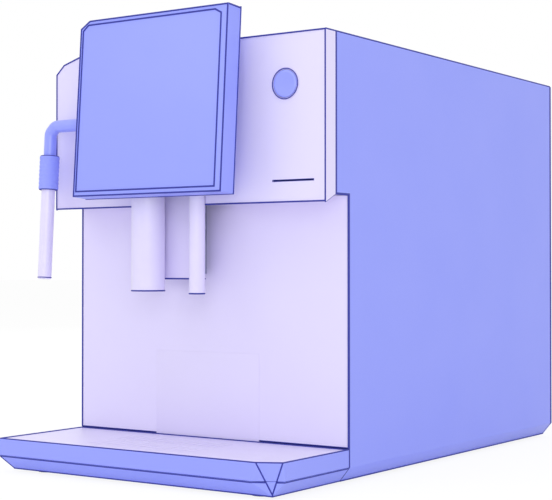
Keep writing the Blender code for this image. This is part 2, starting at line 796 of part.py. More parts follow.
def build_screen():
    outline = cornered(SCREEN_LEFT, screen_right, screen_bottom, SCREEN_ABOVE, (SCREEN_CHAMFER, (0, 0)))
    front = -SCREEN_FACE
    housing = prism("display_housing", outline, "xz", front, screen_back, PANEL, SCREEN_AXIS)
    bay = shrunk(glass_outline(0), 0.004)
    pocket = prism(
        "glass_pocket",
        glass_outline(SEAM),
        "xz",
        front - PAST,
        front + GLASS_THICK + SEAM,
        parent=SCREEN_AXIS,
    )
    window = prism("module_window", bay, "xz", front - 0.005, front + 0.005, parent=SCREEN_AXIS)
    room = prism(
        "back_room",
        shrunk(outline, SCREEN_WALL),
        "xz",
        front + 0.0045,
        screen_back + PAST,
        parent=SCREEN_AXIS,
    )
    cut(housing, room, pocket, window)
    prism("display_glass", glass_outline(0), "xz", front, front + GLASS_THICK, GLASS, SCREEN_AXIS)
    module_back = screen_back - SHEET - 0.004
    prism(
        "display_panel", shrunk(bay, SEAM), "xz", front + GLASS_THICK + SEAM, module_back, BLACK, SCREEN_AXIS
    )

    cover_outline = shrunk(outline, SCREEN_WALL + SEAM)
    cover = prism(
        "display_rear_cover", cover_outline, "xz", screen_back - SHEET, screen_back, PANEL, SCREEN_AXIS
    )
    half = KNUCKLE_HALF
    for x in lug_places:
        arm = block(
            "lug_arm",
            (x - half, screen_back - 0.001, -HINGE_KNUCKLE),
            (x + half, 0, HINGE_KNUCKLE),
            parent=SCREEN_AXIS,
        )
        lug = rod("lug", HINGE_KNUCKLE, (x - half, 0, 0), (x + half, 0, 0), parent=SCREEN_AXIS, segments=24)
        join(cover, arm, lug)
    hole_half = lug_places[1] - screen_middle + 0.02
    ends = [(screen_middle - hole_half, 0, 0), (screen_middle + hole_half, 0, 0)]
    cut(cover, rod("lug_hole", HINGE_PIN + SEAM, *ends, parent=SCREEN_AXIS, segments=20))


def build_screen_mount():
    """Two fixed ears on the head's front, and the pin that carries the screen."""
    pivot_y, pivot_z = SCREEN_PIVOT[0], HEIGHT + SCREEN_PIVOT[1]
    bracket = block(
        "display_bracket",
        (screen_middle - 0.045, -0.0035, pivot_z - 0.030),
        (screen_middle + 0.045, -SEAM, pivot_z + 0.022),
        STEEL,
    )
    half = KNUCKLE_HALF
    for x in ear_places:
        arm = block(
            "ear_arm",
            (x - half, pivot_y, pivot_z - HINGE_KNUCKLE),
            (x + half, -0.003, pivot_z + HINGE_KNUCKLE),
        )
        ear = rod(
            "ear", HINGE_KNUCKLE, (x - half, pivot_y, pivot_z), (x + half, pivot_y, pivot_z), segments=24
        )
        join(bracket, arm, ear)
    reach = lug_places[1] - screen_middle + 0.0075
    ends = [(screen_middle - reach, pivot_y, pivot_z), (screen_middle + reach, pivot_y, pivot_z)]
    cut(bracket, rod("ear_hole", HINGE_PIN + SEAM, *ends, segments=20))
    rod("display_hinge_pin", HINGE_PIN, *ends, STEEL, segments=20)


# ---- Outlets -----------------------------------------------------------------------------------

outlet_top = HEAD_Z + OUTLET_TOP
plate_front = OUTLET_Y + COFFEE_RADIUS + PLATE_GAP
plate_back = plate_front + PLATE_THICK
rail_gap, rail_deep, shoe_lip = (share * (RECESS - plate_back) for share in RAIL_SHARES)
rail_front = plate_back + rail_gap
rail_back = rail_front + rail_deep


def outlet(name, x, radius, low, material):
    """A capped round shroud, open below."""
    height = outlet_top - low
    profile = [
        (0, height),
        (radius, height),
        (radius, 0),
        (radius - OUTLET_WALL, 0),
        (radius - OUTLET_WALL, height - 0.003),
        (0, height - 0.003),
    ]
    return turned(name, profile, (x, OUTLET_Y, low), material, segments=40)


def build_outlets():
    coffee_low, water_low = HEAD_Z - COFFEE_LOW, HEAD_Z - WATER_LOW
    outlet("coffee_outlet", COFFEE_X, COFFEE_RADIUS, coffee_low, PALE)
    outlet("hot_water_outlet", WATER_X, WATER_RADIUS, water_low, PALE)

    nozzle_top = outlet_top - 0.003 - SEAM
    nozzle = block(
        "coffee_nozzle",
        (COFFEE_X - 0.014, OUTLET_Y - 0.006, coffee_low + 0.018),
        (COFFEE_X + 0.014, OUTLET_Y + 0.006, nozzle_top),
        BLACK,
    )
    for x in (COFFEE_X - 0.008, COFFEE_X + 0.008):
        join(
            nozzle,
            rod(
                "spout",
                0.0045,
                (x, OUTLET_Y, coffee_low + 0.002),
                (x, OUTLET_Y, coffee_low + 0.03),
                segments=20,
            ),
        )
        cut(
            nozzle,
            rod(
                "spout_bore",
                0.0025,
                (x, OUTLET_Y, coffee_low - PAST),
                (x, OUTLET_Y, coffee_low + 0.06),
                segments=16,
            ),
        )

    plate_left, plate_right = COFFEE_X - PLATE_LEFT, WATER_X - PLATE_SHORT
    carriage = block(
        "outlet_carriage",
        (plate_left, plate_front, HEAD_Z - PLATE_LOW),
        (plate_right, plate_back, outlet_top),
        PALE,
    )
    saddles = (
        (COFFEE_X, COFFEE_RADIUS, COFFEE_X - 0.010, COFFEE_X + 0.010),
        (WATER_X, WATER_RADIUS, plate_right - 0.005, WATER_X + 0.005),
    )
    for x, radius, left, right in saddles:
        saddle = block(
            "saddle", (left, OUTLET_Y, outlet_top - 0.03), (right, plate_front + 0.001, outlet_top)
        )
        bed = rod("saddle_bed", radius + SEAM, (x, OUTLET_Y, 0), (x, OUTLET_Y, HEIGHT), segments=40)
        cut(saddle, bed)
        join(carriage, saddle)
    shoe_low, shoe_high = outlet_top - SHOE_LENGTH, outlet_top - 0.002
    shoe_half = RAIL_HALF + SHOE_CHEEK
    back = rail_back + shoe_lip
    shoe = block(
        "shoe",
        (RAIL_X - shoe_half, plate_back - 0.002, shoe_low),
        (RAIL_X + shoe_half, back, shoe_high),
    )
    run = block(
        "rail_run",
        (RAIL_X - RAIL_HALF - SEAM, rail_front - SEAM, shoe_low - PAST),
        (RAIL_X + RAIL_HALF + SEAM, rail_back + SEAM, shoe_high + PAST),
    )
    mouth = block(
        "rail_mouth",
        (RAIL_X - RAIL_NECK - SEAM, rail_front, shoe_low - PAST),
        (RAIL_X + RAIL_NECK + SEAM, back + PAST, shoe_high + PAST),
    )
    cut(shoe, run, mouth)
    join(carriage, shoe)


def build_outlet_rail():
    """A T rail on the niche's wall, hidden behind the plate."""
    low, high = HEAD_Z - PLATE_LOW + 0.006, outlet_top + 0.018
    rail = block(
        "outlet_rail",
        (RAIL_X - RAIL_HALF, rail_front, low),
        (RAIL_X + RAIL_HALF, rail_back, high),
        STEEL,
    )
    neck = block(
        "rail_neck",
        (RAIL_X - RAIL_NECK, rail_back - 0.001, low),
        (RAIL_X + RAIL_NECK, RECESS - SEAM, high),
    )
    join(rail, neck)


# ---- Steam wand --------------------------------------------------------------------------------
# The arm, grip and tube hang from "wand_axis", with z up along the tube.


def build_wand():
    stem_x, stem_z = boss_stem()
    width, depth, height = BOSS
    left = BOSS_INSET - HALF
    boss = block(
        "wand_boss", (left, -depth, stem_z - height / 2), (left + width, -SEAM, stem_z + height / 2), PALE
    )
    bore_end = left + width - 0.004
    bore = rod(
        "arm_bore", ARM_RADIUS + SEAM, (left - PAST, WAND_Y, stem_z), (bore_end, WAND_Y, stem_z), segments=32
    )
    stem = rod("boss_pipe", STEM_RADIUS, (stem_x, -0.006, stem_z), (stem_x, 0.012, stem_z), segments=20)
    cut(boss, bore)
    join(boss, stem)

    reach = bore_end - 0.001 - (WAND_INSET - HALF)
    grip_top, grip_bottom = GRIP_SPAN
    socket = 0.0236
    tube(
        "wand_arm",
        [(reach, 0, 0), (ARM_BEND, 0, 0), (0, 0, -ARM_BEND), (0, 0, -grip_top - socket)],
        ARM_RADIUS,
        PANEL,
        WAND_AXIS,
        resolution=6,
    )
    step = grip_top + socket + SEAM
    profile = [
        (GRIP_RADIUS - 0.001, -grip_top),
        (GRIP_RADIUS, -grip_top - 0.001),
        (GRIP_RADIUS, -grip_bottom + 0.001),
        (GRIP_RADIUS - 0.001, -grip_bottom),
        (TUBE_RADIUS + SEAM, -grip_bottom),
        (TUBE_RADIUS + SEAM, -step),
        (ARM_RADIUS + SEAM, -step + 0.001),
        (ARM_RADIUS + SEAM, -grip_top),
    ]
    turned("wand_grip", profile, (0, 0, 0), PANEL, WAND_AXIS)
    counterbore = 0.0055
    profile = [
        (TUBE_RADIUS, -step - SEAM),
        (TUBE_RADIUS, -TUBE_LOW + 0.0008),
        (TUBE_RADIUS - 0.0008, -TUBE_LOW),
        (counterbore, -TUBE_LOW),
        (counterbore, -TUBE_LOW + 0.006),
        (TUBE_BORE, -TUBE_LOW + 0.006),
        (TUBE_BORE, -step - SEAM),
    ]
    turned("wand_tube", profile, (0, 0, 0), PALE, WAND_AXIS)
    jet = 0.0012
    profile = [
        (counterbore - SEAM, -TUBE_LOW + 0.006 - SEAM),
        (counterbore - SEAM, -TUBE_LOW),
        (jet, -TUBE_LOW),
        (jet, -TUBE_LOW + 0.006 - SEAM),
    ]
    turned("wand_nozzle", profile, (0, 0, 0), STEEL, WAND_AXIS, segments=20)


# ---- Button and card reader --------------------------------------------------------------------


def build_button():
    """A domed cap on a plunger, its bezel cup in the head's front, and the switch behind the cup."""
    z = HEIGHT - BUTTON_DROP
    place, tilt = (BUTTON_X, 0, z), math.pi / 2
    stem = 0.004
    stem_end = BEZEL_DEPTH - BUTTON_TRAVEL - 0.0008
    cap = [
        (0, BUTTON_PROUD),
        (BUTTON_RADIUS * 0.6, BUTTON_PROUD - 0.0003),
        (BUTTON_RADIUS - 0.001, BUTTON_PROUD - 0.0010),
        (BUTTON_RADIUS, BUTTON_PROUD - 0.0020),
        (BUTTON_RADIUS, -0.0045),
        (stem, -0.0045),
        (stem, -stem_end),
        (0, -stem_end),
    ]
    turned("start_button", cap, place, PANEL, tilt=tilt, segments=36)
    inner = BUTTON_RADIUS + SEAM
    outer = inner + BEZEL_WALL
    cup = [
        (outer + BEZEL_LIP - 0.0004, 0.0013),
        (outer + BEZEL_LIP, 0.0009),
        (outer + BEZEL_LIP, SEAM),
        (outer, SEAM),
        (outer, -BEZEL_DEPTH),
        (stem + 2 * SEAM, -BEZEL_DEPTH),
        (stem + 2 * SEAM, -BEZEL_DEPTH + 0.0025),
        (inner, -BEZEL_DEPTH + 0.0025),
        (inner, 0.0013),
    ]
    turned("button_bezel", cup, place, DARK, tilt=tilt, segments=36)
    block(
        "button_switch",
        (BUTTON_X - 0.010, BEZEL_DEPTH + SEAM, z - 0.008),
        (BUTTON_X + 0.010, BEZEL_DEPTH + 0.014, z + 0.008),
        BLACK,
    )


def build_card_reader():
    z = HEAD_Z + SLOT_RISE
    reader = block(
        "card_reader",
        (SLOT_X - 0.031, HEAD_WALL + SEAM, z - 0.008),
        (SLOT_X + 0.031, 0.070, z + 0.008),
        BLACK,
    )
    half, thick = SLOT_SIZE[0] / 2 + 0.0003, SLOT_SIZE[1] / 2
    cut(reader, block("card_path", (SLOT_X - half, -PAST, z - thick), (SLOT_X + half, 0.062, z + thick)))


# ---- Bean hopper and grinder -------------------------------------------------------------------


def build_hopper():
    """A funnel under the top cover, with a round throat into the grinder."""
    top = HEIGHT - SHEET - SEAM
    floor = top - HOPPER_DEEP
    x, y = GRINDER
    reach = THROAT_RADIUS + 0.012
    insets = (
        x - reach - HOPPER_X[0], HOPPER_X[1] - x - reach, y - reach - HOPPER_Y[0], HOPPER_Y[1] - y - reach
    )
    low, high = (HOPPER_X[0], HOPPER_Y[0], floor), (HOPPER_X[1], HOPPER_Y[1], top)
    hopper = tapered_block("bean_hopper", low, high, insets, SMOKE)
    wall = HOPPER_WALL
    inside = tapered_block(
        "hopper_inside",
        (low[0] + wall, low[1] + wall, floor + wall),
        (high[0] - wall, high[1] - wall, top + 0.001),
        insets,
    )
    throat_low = HEIGHT - GRINDER_SPAN[0] + SEAM
    throat = rod("throat", THROAT_RADIUS + wall, (x, y, throat_low), (x, y, floor + 0.001))
    bore = rod("throat_bore", THROAT_RADIUS, (x, y, throat_low - PAST), (x, y, floor + 0.02))
    join(hopper, throat)
    cut(hopper, inside, bore)


def build_lid():
    pin_y, pin_z = lid_pin_place()
    low, high = HEIGHT + SEAM, HEIGHT + SEAM + LID_THICK
    lap = LID_LAP
    lid = block(
        "hopper_lid",
        (HOPPER_X[0] - lap, HOPPER_Y[0] - lap, low),
        (HOPPER_X[1] + lap, HOPPER_Y[1] + lap, high),
        SMOKE,
    )
    soften = lid.modifiers.new("round", "BEVEL")
    soften.width = 0.0012
    soften.segments = 2
    half = KNUCKLE_HALF
    for x in knuckle_places()[0]:
        arm = block("lid_arm", (x - half, HOPPER_Y[1], pin_z - 0.0012), (x + half, pin_y, pin_z + 0.0012))
        knuckle = rod(
            "lid_knuckle", LID_THICK / 2, (x - half, pin_y, pin_z), (x + half, pin_y, pin_z), segments=20
        )
        join(lid, arm, knuckle)
    cut(lid, lid_pin_hole())
    low_x, high_x = knuckle_places()[0][0] - 0.006, knuckle_places()[1][1] + 0.006
    rod("lid_hinge_pin", LID_PIN, (low_x, pin_y, pin_z), (high_x, pin_y, pin_z), STEEL, segments=16)


def build_grinder():
    x, y = GRINDER
    top, bottom = (HEIGHT - drop for drop in GRINDER_SPAN)
    wall, inner = GRINDER_WALL, GRINDER_RADIUS - GRINDER_WALL
    height = top - bottom
    shaft = SHAFT_RADIUS
    throat = THROAT_RADIUS + HOPPER_WALL + 0.001
    profile = [
        (GRINDER_RADIUS, height),
        (GRINDER_RADIUS, 0),
        (shaft + SEAM, 0),
        (shaft + SEAM, wall),
        (inner, wall),
        (inner, height),
    ]
    housing = turned("grinder_housing", profile, (x, y, bottom), BLACK, segments=24)
    chute_z = bottom + wall + 0.009
    cut(housing, rod("chute_hole", 0.008, (x, y, chute_z), (x - 2 * GRINDER_RADIUS, y, chute_z), segments=20))

    ring_top = height - 0.004
    profile = [
        (inner - SEAM, ring_top),
        (inner - SEAM, ring_top - 0.014),
        (inner - 0.008, ring_top - 0.014),
        (throat, ring_top),
    ]
    turned("upper_burr", profile, (x, y, bottom), STEEL, segments=24)
    burr_low = wall + 0.022
    burr_high = ring_top - 0.0147
    profile = [
        (0, ring_top - 0.001),
        (0.006, ring_top - 0.001),
        (0.012, burr_high),
        (inner - 0.004, burr_high),
        (inner - 0.004, burr_low),
        (shaft, burr_low - 0.004),
        (shaft, -0.025),
        (0, -0.025),
    ]
    turned("lower_burr", profile, (x, y, bottom), STEEL, segments=24)

    motor_top = bottom - SEAM
    motor_bottom = motor_top - MOTOR_LENGTH
    profile = [
        (MOTOR_RADIUS - 0.002, MOTOR_LENGTH),
        (MOTOR_RADIUS, MOTOR_LENGTH - 0.002),
        (MOTOR_RADIUS, 0),
        (shaft + SEAM, 0),
        (shaft + SEAM, MOTOR_LENGTH),
    ]
    turned("grinder_motor", profile, (x, y, motor_bottom), ZINC, segments=24)
    deck = motor_bottom - SEAM
    path = [(y - MOTOR_RADIUS - 0.004, deck), (BULKHEAD_Y - SEAM, deck), (BULKHEAD_Y - SEAM, deck - 0.060)]
    prism("grinder_bracket", bent_sheet(path, SHEET), "yz", x - MOTOR_RADIUS, x + MOTOR_RADIUS, ZINC)


# ---- Brew unit ---------------------------------------------------------------------------------


def build_brew_unit():
    """A chamber under a piston, which a spindle beside it drives down."""
    x, y = BREW
    top, bottom = (HEIGHT - drop for drop in BREW_SPAN)
    outer = BREW_BORE + BREW_WALL
    shelf = bottom - SEAM
    plate = 0.006
    upper = top + 0.075
    spine = SPINDLE_Y + 0.022
    side = outer + 0.006
    outline = [
        (y - outer - 0.004, shelf - plate),
        (spine + plate, shelf - plate),
        (spine + plate, upper),
        (y - 0.010, upper),
        (y - 0.010, upper - plate),
        (spine, upper - plate),
        (spine, shelf),
        (y - outer - 0.004, shelf),
    ]
    frame = prism("brew_frame", outline, "yz", x - side, x + side, BLACK)
    ends = [(x, SPINDLE_Y, shelf - 0.02), (x, SPINDLE_Y, upper - plate / 2)]
    spindle_hole = rod("spindle_hole", SPINDLE_RADIUS + SEAM, *ends, segments=20)
    drain = rod("chamber_drain", 0.006, (x, y, shelf - 0.02), (x, y, shelf + PAST), segments=20)
    cut(frame, spindle_hole, drain)

    floor = 0.004
    height = top - bottom
    profile = [
        (outer, height),
        (outer, 0),
        (0.004, 0),
        (0.004, floor),
        (BREW_BORE, floor),
        (BREW_BORE, height),
    ]
    turned("brew_chamber", profile, (x, y, bottom), PALE, segments=24)

    radius = BREW_BORE - SEAM
    arm_low = top + 0.032
    profile = [(0, 0.048), (0.009, 0.048), (0.009, 0.014), (radius, 0.014), (radius, 0), (0, 0)]
    piston = turned("brew_piston", profile, (x, y, top - 0.008), STEEL, segments=24)
    arm = block("piston_arm", (x - 0.008, y, arm_low), (x + 0.008, SPINDLE_Y, arm_low + 0.008))
    nut = rod("piston_nut", 0.010, (x, SPINDLE_Y, arm_low), (x, SPINDLE_Y, arm_low + 0.014), segments=24)
    ends = [(x, SPINDLE_Y, arm_low - PAST), (x, SPINDLE_Y, arm_low + 0.03)]
    thread = rod("nut_thread", SPINDLE_RADIUS + SEAM, *ends, segments=20)
    join(piston, arm, nut)
    cut(piston, thread)

    motor_top = shelf - plate - SEAM
    spindle_low = motor_top - 0.012
    rod(
        "brew_spindle",
        SPINDLE_RADIUS,
        (x, SPINDLE_Y, spindle_low),
        (x, SPINDLE_Y, upper - plate / 2 - SEAM),
        STEEL,
        segments=20,
    )
    body = rod("brew_motor", 0.018, (x, SPINDLE_Y, motor_top - 0.050), (x, SPINDLE_Y, motor_top), ZINC)
    ends = [(x, SPINDLE_Y, spindle_low - SEAM), (x, SPINDLE_Y, motor_top + PAST)]
    pocket = rod("motor_pocket", SPINDLE_RADIUS + SEAM, *ends, segments=20)
    cut(body, pocket)


# ---- Boilers, pump and electrics ---------------------------------------------------------------


def boiler(name, place, material):
    """An upright vessel with a domed top, a flat foot ring and a pipe stub on top."""
    x, y, radius, length = place
    base = SHELF_Z + SEAM
    dome = radius * 0.4
    stub_radius = 0.005
    arc = [math.pi / 2 * i / 6 for i in range(1, 7)]
    crown = [(radius * math.sin(a), length - dome + dome * math.cos(a)) for a in arc]
    stub = [(0, length + BOILER_STUB), (stub_radius, length + BOILER_STUB), (stub_radius, length)]
    profile = [*stub, *crown, (radius, 0.004), (radius - 0.004, 0), (0, 0)]
    return turned(name, profile, (x, y, base), material, segments=24)


def stub_end(place):
    """Where a hose meets the stub on top of a boiler."""
    x, y, _, length = place
    return Vector((x, y, SHELF_Z + SEAM + length + BOILER_STUB + SEAM))


def build_wet_side():
    floor = FOOT_RISE + PLINTH_WALL
    outline = bent_sheet(
        [
            (BULKHEAD_Y + SHEET + 0.004, floor + SEAM),
            (BULKHEAD_Y + SHEET + 0.004, SHELF_Z),
            (REAR - SHELF_SHORT, SHELF_Z),
            (REAR - SHELF_SHORT, floor + SEAM),
        ],
        SHEET,
    )
    half = plinth_inset - 0.012
    prism("equipment_shelf", outline, "yz", -half, half, ZINC)
    boiler("steam_boiler", STEAM_BOILER, STEEL)
    boiler("coffee_boiler", COFFEE_BOILER, BRASS)

    x, y, radius, length = PUMP
    base = floor + SEAM
    middle = base + radius + 0.004
    pump = rod("pump", radius, (x, y - length / 2, middle), (x, y + length / 2, middle), BLACK)
    join(
        pump,
        block("pump_core", (x - 0.022, y - 0.030, base), (x + 0.022, y + 0.030, middle + 0.020)),
        rod("pump_outlet", 0.006, (x, y - length / 2 - 0.018, middle), (x, y, middle), segments=20),
    )

    x, z, radius = WATER_INLET
    valve = block(
        "water_inlet_valve",
        (x - 0.018, REAR - 0.050, z - 0.018),
        (x + 0.018, REAR - 0.012 - 0.004, z + 0.018),
        BLACK,
    )
    throat = rod("valve_nipple", radius, (x, REAR - 0.018, z), (x, DEPTH - SEAM, z), segments=24)
    bore = rod("valve_bore", 0.006, (x, REAR - 0.010, z), (x, DEPTH + PAST, z), segments=16)
    join(valve, throat)
    cut(valve, bore)


def build_electrics():
    left, right, front, back, height = CONTROL_BOX
    base = SHELF_Z + SEAM
    box = block("control_box", (left, front, base), (right, back, base + height), ZINC)
    wall = BOX_WALL
    inside = block(
        "box_inside",
        (left + wall, front + wall, base + wall),
        (right - wall, back - wall, base + height + PAST),
    )
    cut(box, inside)

    fan_x, drop, side, deep = FAN
    z = HEIGHT - drop
    face = REAR - SEAM
    frame = block(
        "fan_frame",
        (fan_x - side / 2, face - deep, z - side / 2),
        (fan_x + side / 2, face, z + side / 2),
        BLACK,
    )
    bore = side / 2 - 0.003
    hub = 0.019
    spider = turned(
        "fan_spider",
        [(bore, PAST), (bore, -PAST), (hub, -PAST), (hub, PAST)],
        (fan_x, face, z),
        tilt=math.pi / 2,
    )
    for angle in (45, 135):
        strut = block("fan_strut", (-side, -0.02, -0.0025), (side, 0.02, 0.0025))
        strut.location = (fan_x, face, z)
        strut.rotation_euler.y = math.radians(angle)
        cut(spider, strut)
    mouth = rod("fan_mouth", bore, (fan_x, face - deep - PAST, z), (fan_x, face - 0.003, z), segments=32)
    cut(frame, mouth, spider)

    blade_back = face - 0.0045
    rotor = rod("fan_rotor", hub, (fan_x, face - deep + 0.002, z), (fan_x, blade_back, z), BLACK, segments=28)
    for i in range(FAN_BLADES):
        blade = block("fan_blade", (-0.008, -0.0008, hub - 0.004), (0.008, 0.0008, bore - 0.002))
        for vertex in blade.data.vertices:
            vertex.co.z += (hub + bore - 0.006) / 2
        blade.location = (fan_x, face - deep / 2 - 0.001, z)
        pitch = Matrix.Rotation(math.radians(38), 4, "Z")
        around = Matrix.Rotation(2 * math.pi * i / FAN_BLADES, 4, "Y")
        blade.rotation_euler = (around @ pitch).to_euler()
        join(rotor, blade)

    x, z, width, height = INLET
    gap = SEAM
    module = block(
        "power_inlet",
        (x - width / 2 + gap, REAR - 0.028, z - height / 2 + gap),
        (x + width / 2 - gap, DEPTH - gap, z + height / 2 - gap),
        BLACK,
    )
    socket_x, socket_width, socket_height = SOCKET
    recess = block(
        "plug_recess",
        (socket_x - socket_width / 2, DEPTH - 0.018, z - socket_height / 2),
        (socket_x + socket_width / 2, DEPTH + PAST, z + socket_height / 2),
    )
    rocker_width, rocker_height = ROCKER
    half_x, half_z = rocker_width / 2 + 2 * gap, rocker_height / 2 + 2 * gap
    well = block(
        "rocker_well",
        (ROCKER_X - half_x, DEPTH - 0.018, z - half_z),
        (ROCKER_X + half_x, DEPTH + PAST, z + half_z),
    )
    cut(module, recess, well)
    half = rocker_height / 2 - 0.0007
    outline = [(-0.007, -0.004), (0.004, -half), (0.0025, 0), (0.004, half), (-0.007, 0.004)]
    prism("power_rocker", outline, "yz", -rocker_width / 2, rocker_width / 2, DARK, ROCKER_AXIS)


def build_hoses():
    """Two of the pipes inside: steam to the wand, and hot water to the brew chamber."""
    steam_gate, water_gate = hose_gates()
    stem_x, stem_z = boss_stem()
    stem_end = 0.012 + 2 * SEAM
    boiler_end = stub_end(STEAM_BOILER)
    gate = (steam_gate[0], BULKHEAD_Y + SHEET / 2, steam_gate[1])
    beside = BREW[0] - BREW_BORE - BREW_WALL - 0.006 - 0.016
    steam = [
        (stem_x, stem_end, stem_z),
        (stem_x, stem_end + 0.015, stem_z),
        (stem_x, stem_end + 0.03, stem_z),
        (beside, BREW[1] - 0.05, stem_z + 0.006),
        (beside, BREW[1] + 0.07, steam_gate[1]),
        (gate[0], gate[1] - 0.03, gate[2]),
        gate,
        (gate[0], gate[1] + 0.03, gate[2]),
        boiler_end + Vector((0, -0.03, 0.065)),
        boiler_end + Vector((0, 0, 0.03)),
        boiler_end + Vector((0, 0, 0.015)),
        boiler_end,
    ]
    tube("steam_hose", smooth_route(steam, 0.015), HOSE_RADIUS, PALE, resolution=2)

    x, y = BREW
    inlet_z = HEIGHT - BREW_SPAN[0] - 0.045
    wall = x + BREW_BORE + BREW_WALL + 2 * SEAM
    boiler_end = stub_end(COFFEE_BOILER)
    gate = Vector((water_gate[0], BULKHEAD_Y + SHEET / 2, water_gate[1]))
    water = [
        (wall, y, inlet_z),
        (wall + 0.010, y, inlet_z),
        (wall + 0.020, y, inlet_z),
        (wall + 0.034, y + 0.03, inlet_z + 0.02),
        (gate[0], gate[1] - 0.07, gate[2] - 0.035),
        gate + Vector((0, -0.025, 0)),
        gate,
        gate + Vector((0, 0.025, 0)),
        boiler_end + Vector((0, -0.035, 0.09)),
        boiler_end + Vector((0, 0, 0.03)),
        boiler_end + Vector((0, 0, 0.015)),
        boiler_end,
    ]
    tube("water_hose", smooth_route(water, 0.015), HOSE_RADIUS, PALE, resolution=2)


build_plinth()
build_feet()
build_side_panels()
build_top_cover()
build_rear_panel()
build_head()
build_recess_panel()
build_bulkhead()
build_tray()
build_grid()
build_bin()
build_screen()
build_screen_mount()
build_outlets()
build_outlet_rail()
build_wand()
build_button()
build_card_reader()
build_hopper()
build_lid()
build_grinder()
build_brew_unit()
build_wet_side()
build_electrics()
build_hoses()
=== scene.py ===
# %% [markdown]
# # A counter-top coffee machine, dressed around its working frame
#
# The frame is the machine's construction: every panel, hinge and slide at its real size. This lesson gives
# each of those pieces its finish, and adds the pieces that make a machine look made: rolled edges, seals,
# screws, grilles and a screen. Nothing here moves or resizes the frame. Each new piece rides on the body it
# belongs to.

# %% Load the frame
import json
import math

import bmesh
import bpy
import numpy as np
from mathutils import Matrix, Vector


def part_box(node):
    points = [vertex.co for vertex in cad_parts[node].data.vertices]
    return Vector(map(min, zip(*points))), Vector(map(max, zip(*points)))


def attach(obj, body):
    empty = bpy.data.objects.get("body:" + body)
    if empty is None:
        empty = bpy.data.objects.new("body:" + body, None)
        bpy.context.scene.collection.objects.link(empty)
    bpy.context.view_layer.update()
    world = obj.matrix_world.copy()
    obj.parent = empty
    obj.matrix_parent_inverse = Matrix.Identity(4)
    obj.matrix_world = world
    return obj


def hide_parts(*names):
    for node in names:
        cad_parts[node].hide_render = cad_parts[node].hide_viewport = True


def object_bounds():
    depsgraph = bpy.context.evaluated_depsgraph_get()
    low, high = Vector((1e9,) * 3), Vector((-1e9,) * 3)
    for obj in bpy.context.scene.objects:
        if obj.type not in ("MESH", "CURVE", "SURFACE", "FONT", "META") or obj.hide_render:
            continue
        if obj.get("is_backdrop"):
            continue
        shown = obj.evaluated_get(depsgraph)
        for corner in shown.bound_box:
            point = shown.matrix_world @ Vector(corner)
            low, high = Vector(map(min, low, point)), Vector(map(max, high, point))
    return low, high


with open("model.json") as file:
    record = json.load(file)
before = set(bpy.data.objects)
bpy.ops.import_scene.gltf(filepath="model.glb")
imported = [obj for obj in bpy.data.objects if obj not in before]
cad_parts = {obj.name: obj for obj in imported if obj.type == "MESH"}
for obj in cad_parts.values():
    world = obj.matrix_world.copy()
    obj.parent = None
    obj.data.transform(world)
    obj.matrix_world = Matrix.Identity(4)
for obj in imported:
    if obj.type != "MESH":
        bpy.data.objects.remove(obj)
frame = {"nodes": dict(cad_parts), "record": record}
cad_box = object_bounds()
NODES = frame["nodes"]
JOINTS = {joint["name"]: joint for joint in frame["record"]["behaviour"]["joints"]}

# %% [markdown]
# ## Where things are
#
# The frame already knows where everything is, so no place is typed in twice. A box gives a piece's lowest
# and highest corner, and a joint gives the pivot of the screen and of the wand. Sizes that only the looks
# need, such as how thick a seal is, are named here in millimetres.

# %% Measures taken from the frame
MM = 0.001
BEAD = 0.95 * MM  # radius of the indigo seals and edge trims
LINE = 1.8 * MM  # width of the painted edge lines
SIDE_LINE = 3.0 * MM  # the same on the sides, which are mostly seen at a slant
TOP_LINE = 0.8 * MM  # the same along the top edge, just under the cord there
GAP = 0.3 * MM  # the clearance between neighbouring new pieces
SKIN = 0.1 * MM  # keeps two new surfaces from lying in the same plane
NEAR = 0.1 * MM  # points of the frame this close to a plane count as in it


def box(node):
    """Lowest and highest corner of a piece of the frame, as numpy arrays."""
    low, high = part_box(node)
    return np.array(low), np.array(high)


def in_mm(size):
    """A size, or an array of them, in millimetres to a tenth, for printing."""
    return np.round(np.asarray(size) / MM, 1).tolist()


HEAD_LOW, HEAD_HIGH = box("head_shell")
NICHE_LOW, NICHE_HIGH = box("recess_panel")
SIDE_LOW, SIDE_HIGH = box("right_side_panel")
TRAY_LOW, TRAY_HIGH = box("drip_tray")
PLINTH_LOW, PLINTH_HIGH = box("base_pan")
REAR_INSIDE = box("rear_panel")[0][1]
HALF = HEAD_HIGH[0]
TOP = HEAD_HIGH[2]
HEAD_FRONT, HEAD_BACK = HEAD_LOW[1], SIDE_LOW[1]
NICHE_WALL = NICHE_LOW[1]
UNDERSIDE = NICHE_HIGH[2] + GAP
HEAD_BOTTOM = HEAD_LOW[2]
TRAY_FRONT, TRAY_TOP = TRAY_LOW[1], TRAY_HIGH[2]
BAND = PLINTH_HIGH[2]
print("half width, top and tray top", in_mm([HALF, TOP, TRAY_TOP]), "mm")

# %% [markdown]
# ## Colour
#
# Paint is chosen by eye on a screen, so its value is written as the six hex digits a designer would use.
# Light adds up in linear numbers, so one function turns the digits into what the shader needs. The whole
# machine has three paints: a periwinkle for the sheet metal, a pale lavender for the mouldings, and a deep
# indigo for seals.

# %% Colours
PERIWINKLE, LAVENDER, INDIGO = "99A3FF", "E7E1FF", "2B329F"
SPECK = "B4BBFF"  # the lighter dots in the periwinkle powder coat


def linear(hex_digits):
    """sRGB hex digits to linear colour and alpha: c / 12.92 when dark, else ((c + 0.055) / 1.055) ** 2.4."""
    channel = np.array([int(hex_digits[i : i + 2], 16) for i in (0, 2, 4)]) / 255
    curved = np.where(channel <= 0.04045, channel / 12.92, ((channel + 0.055) / 1.055) ** 2.4)
    return (*curved.tolist(), 1.0)


print("periwinkle in linear light", np.round(linear(PERIWINKLE), 3).tolist())

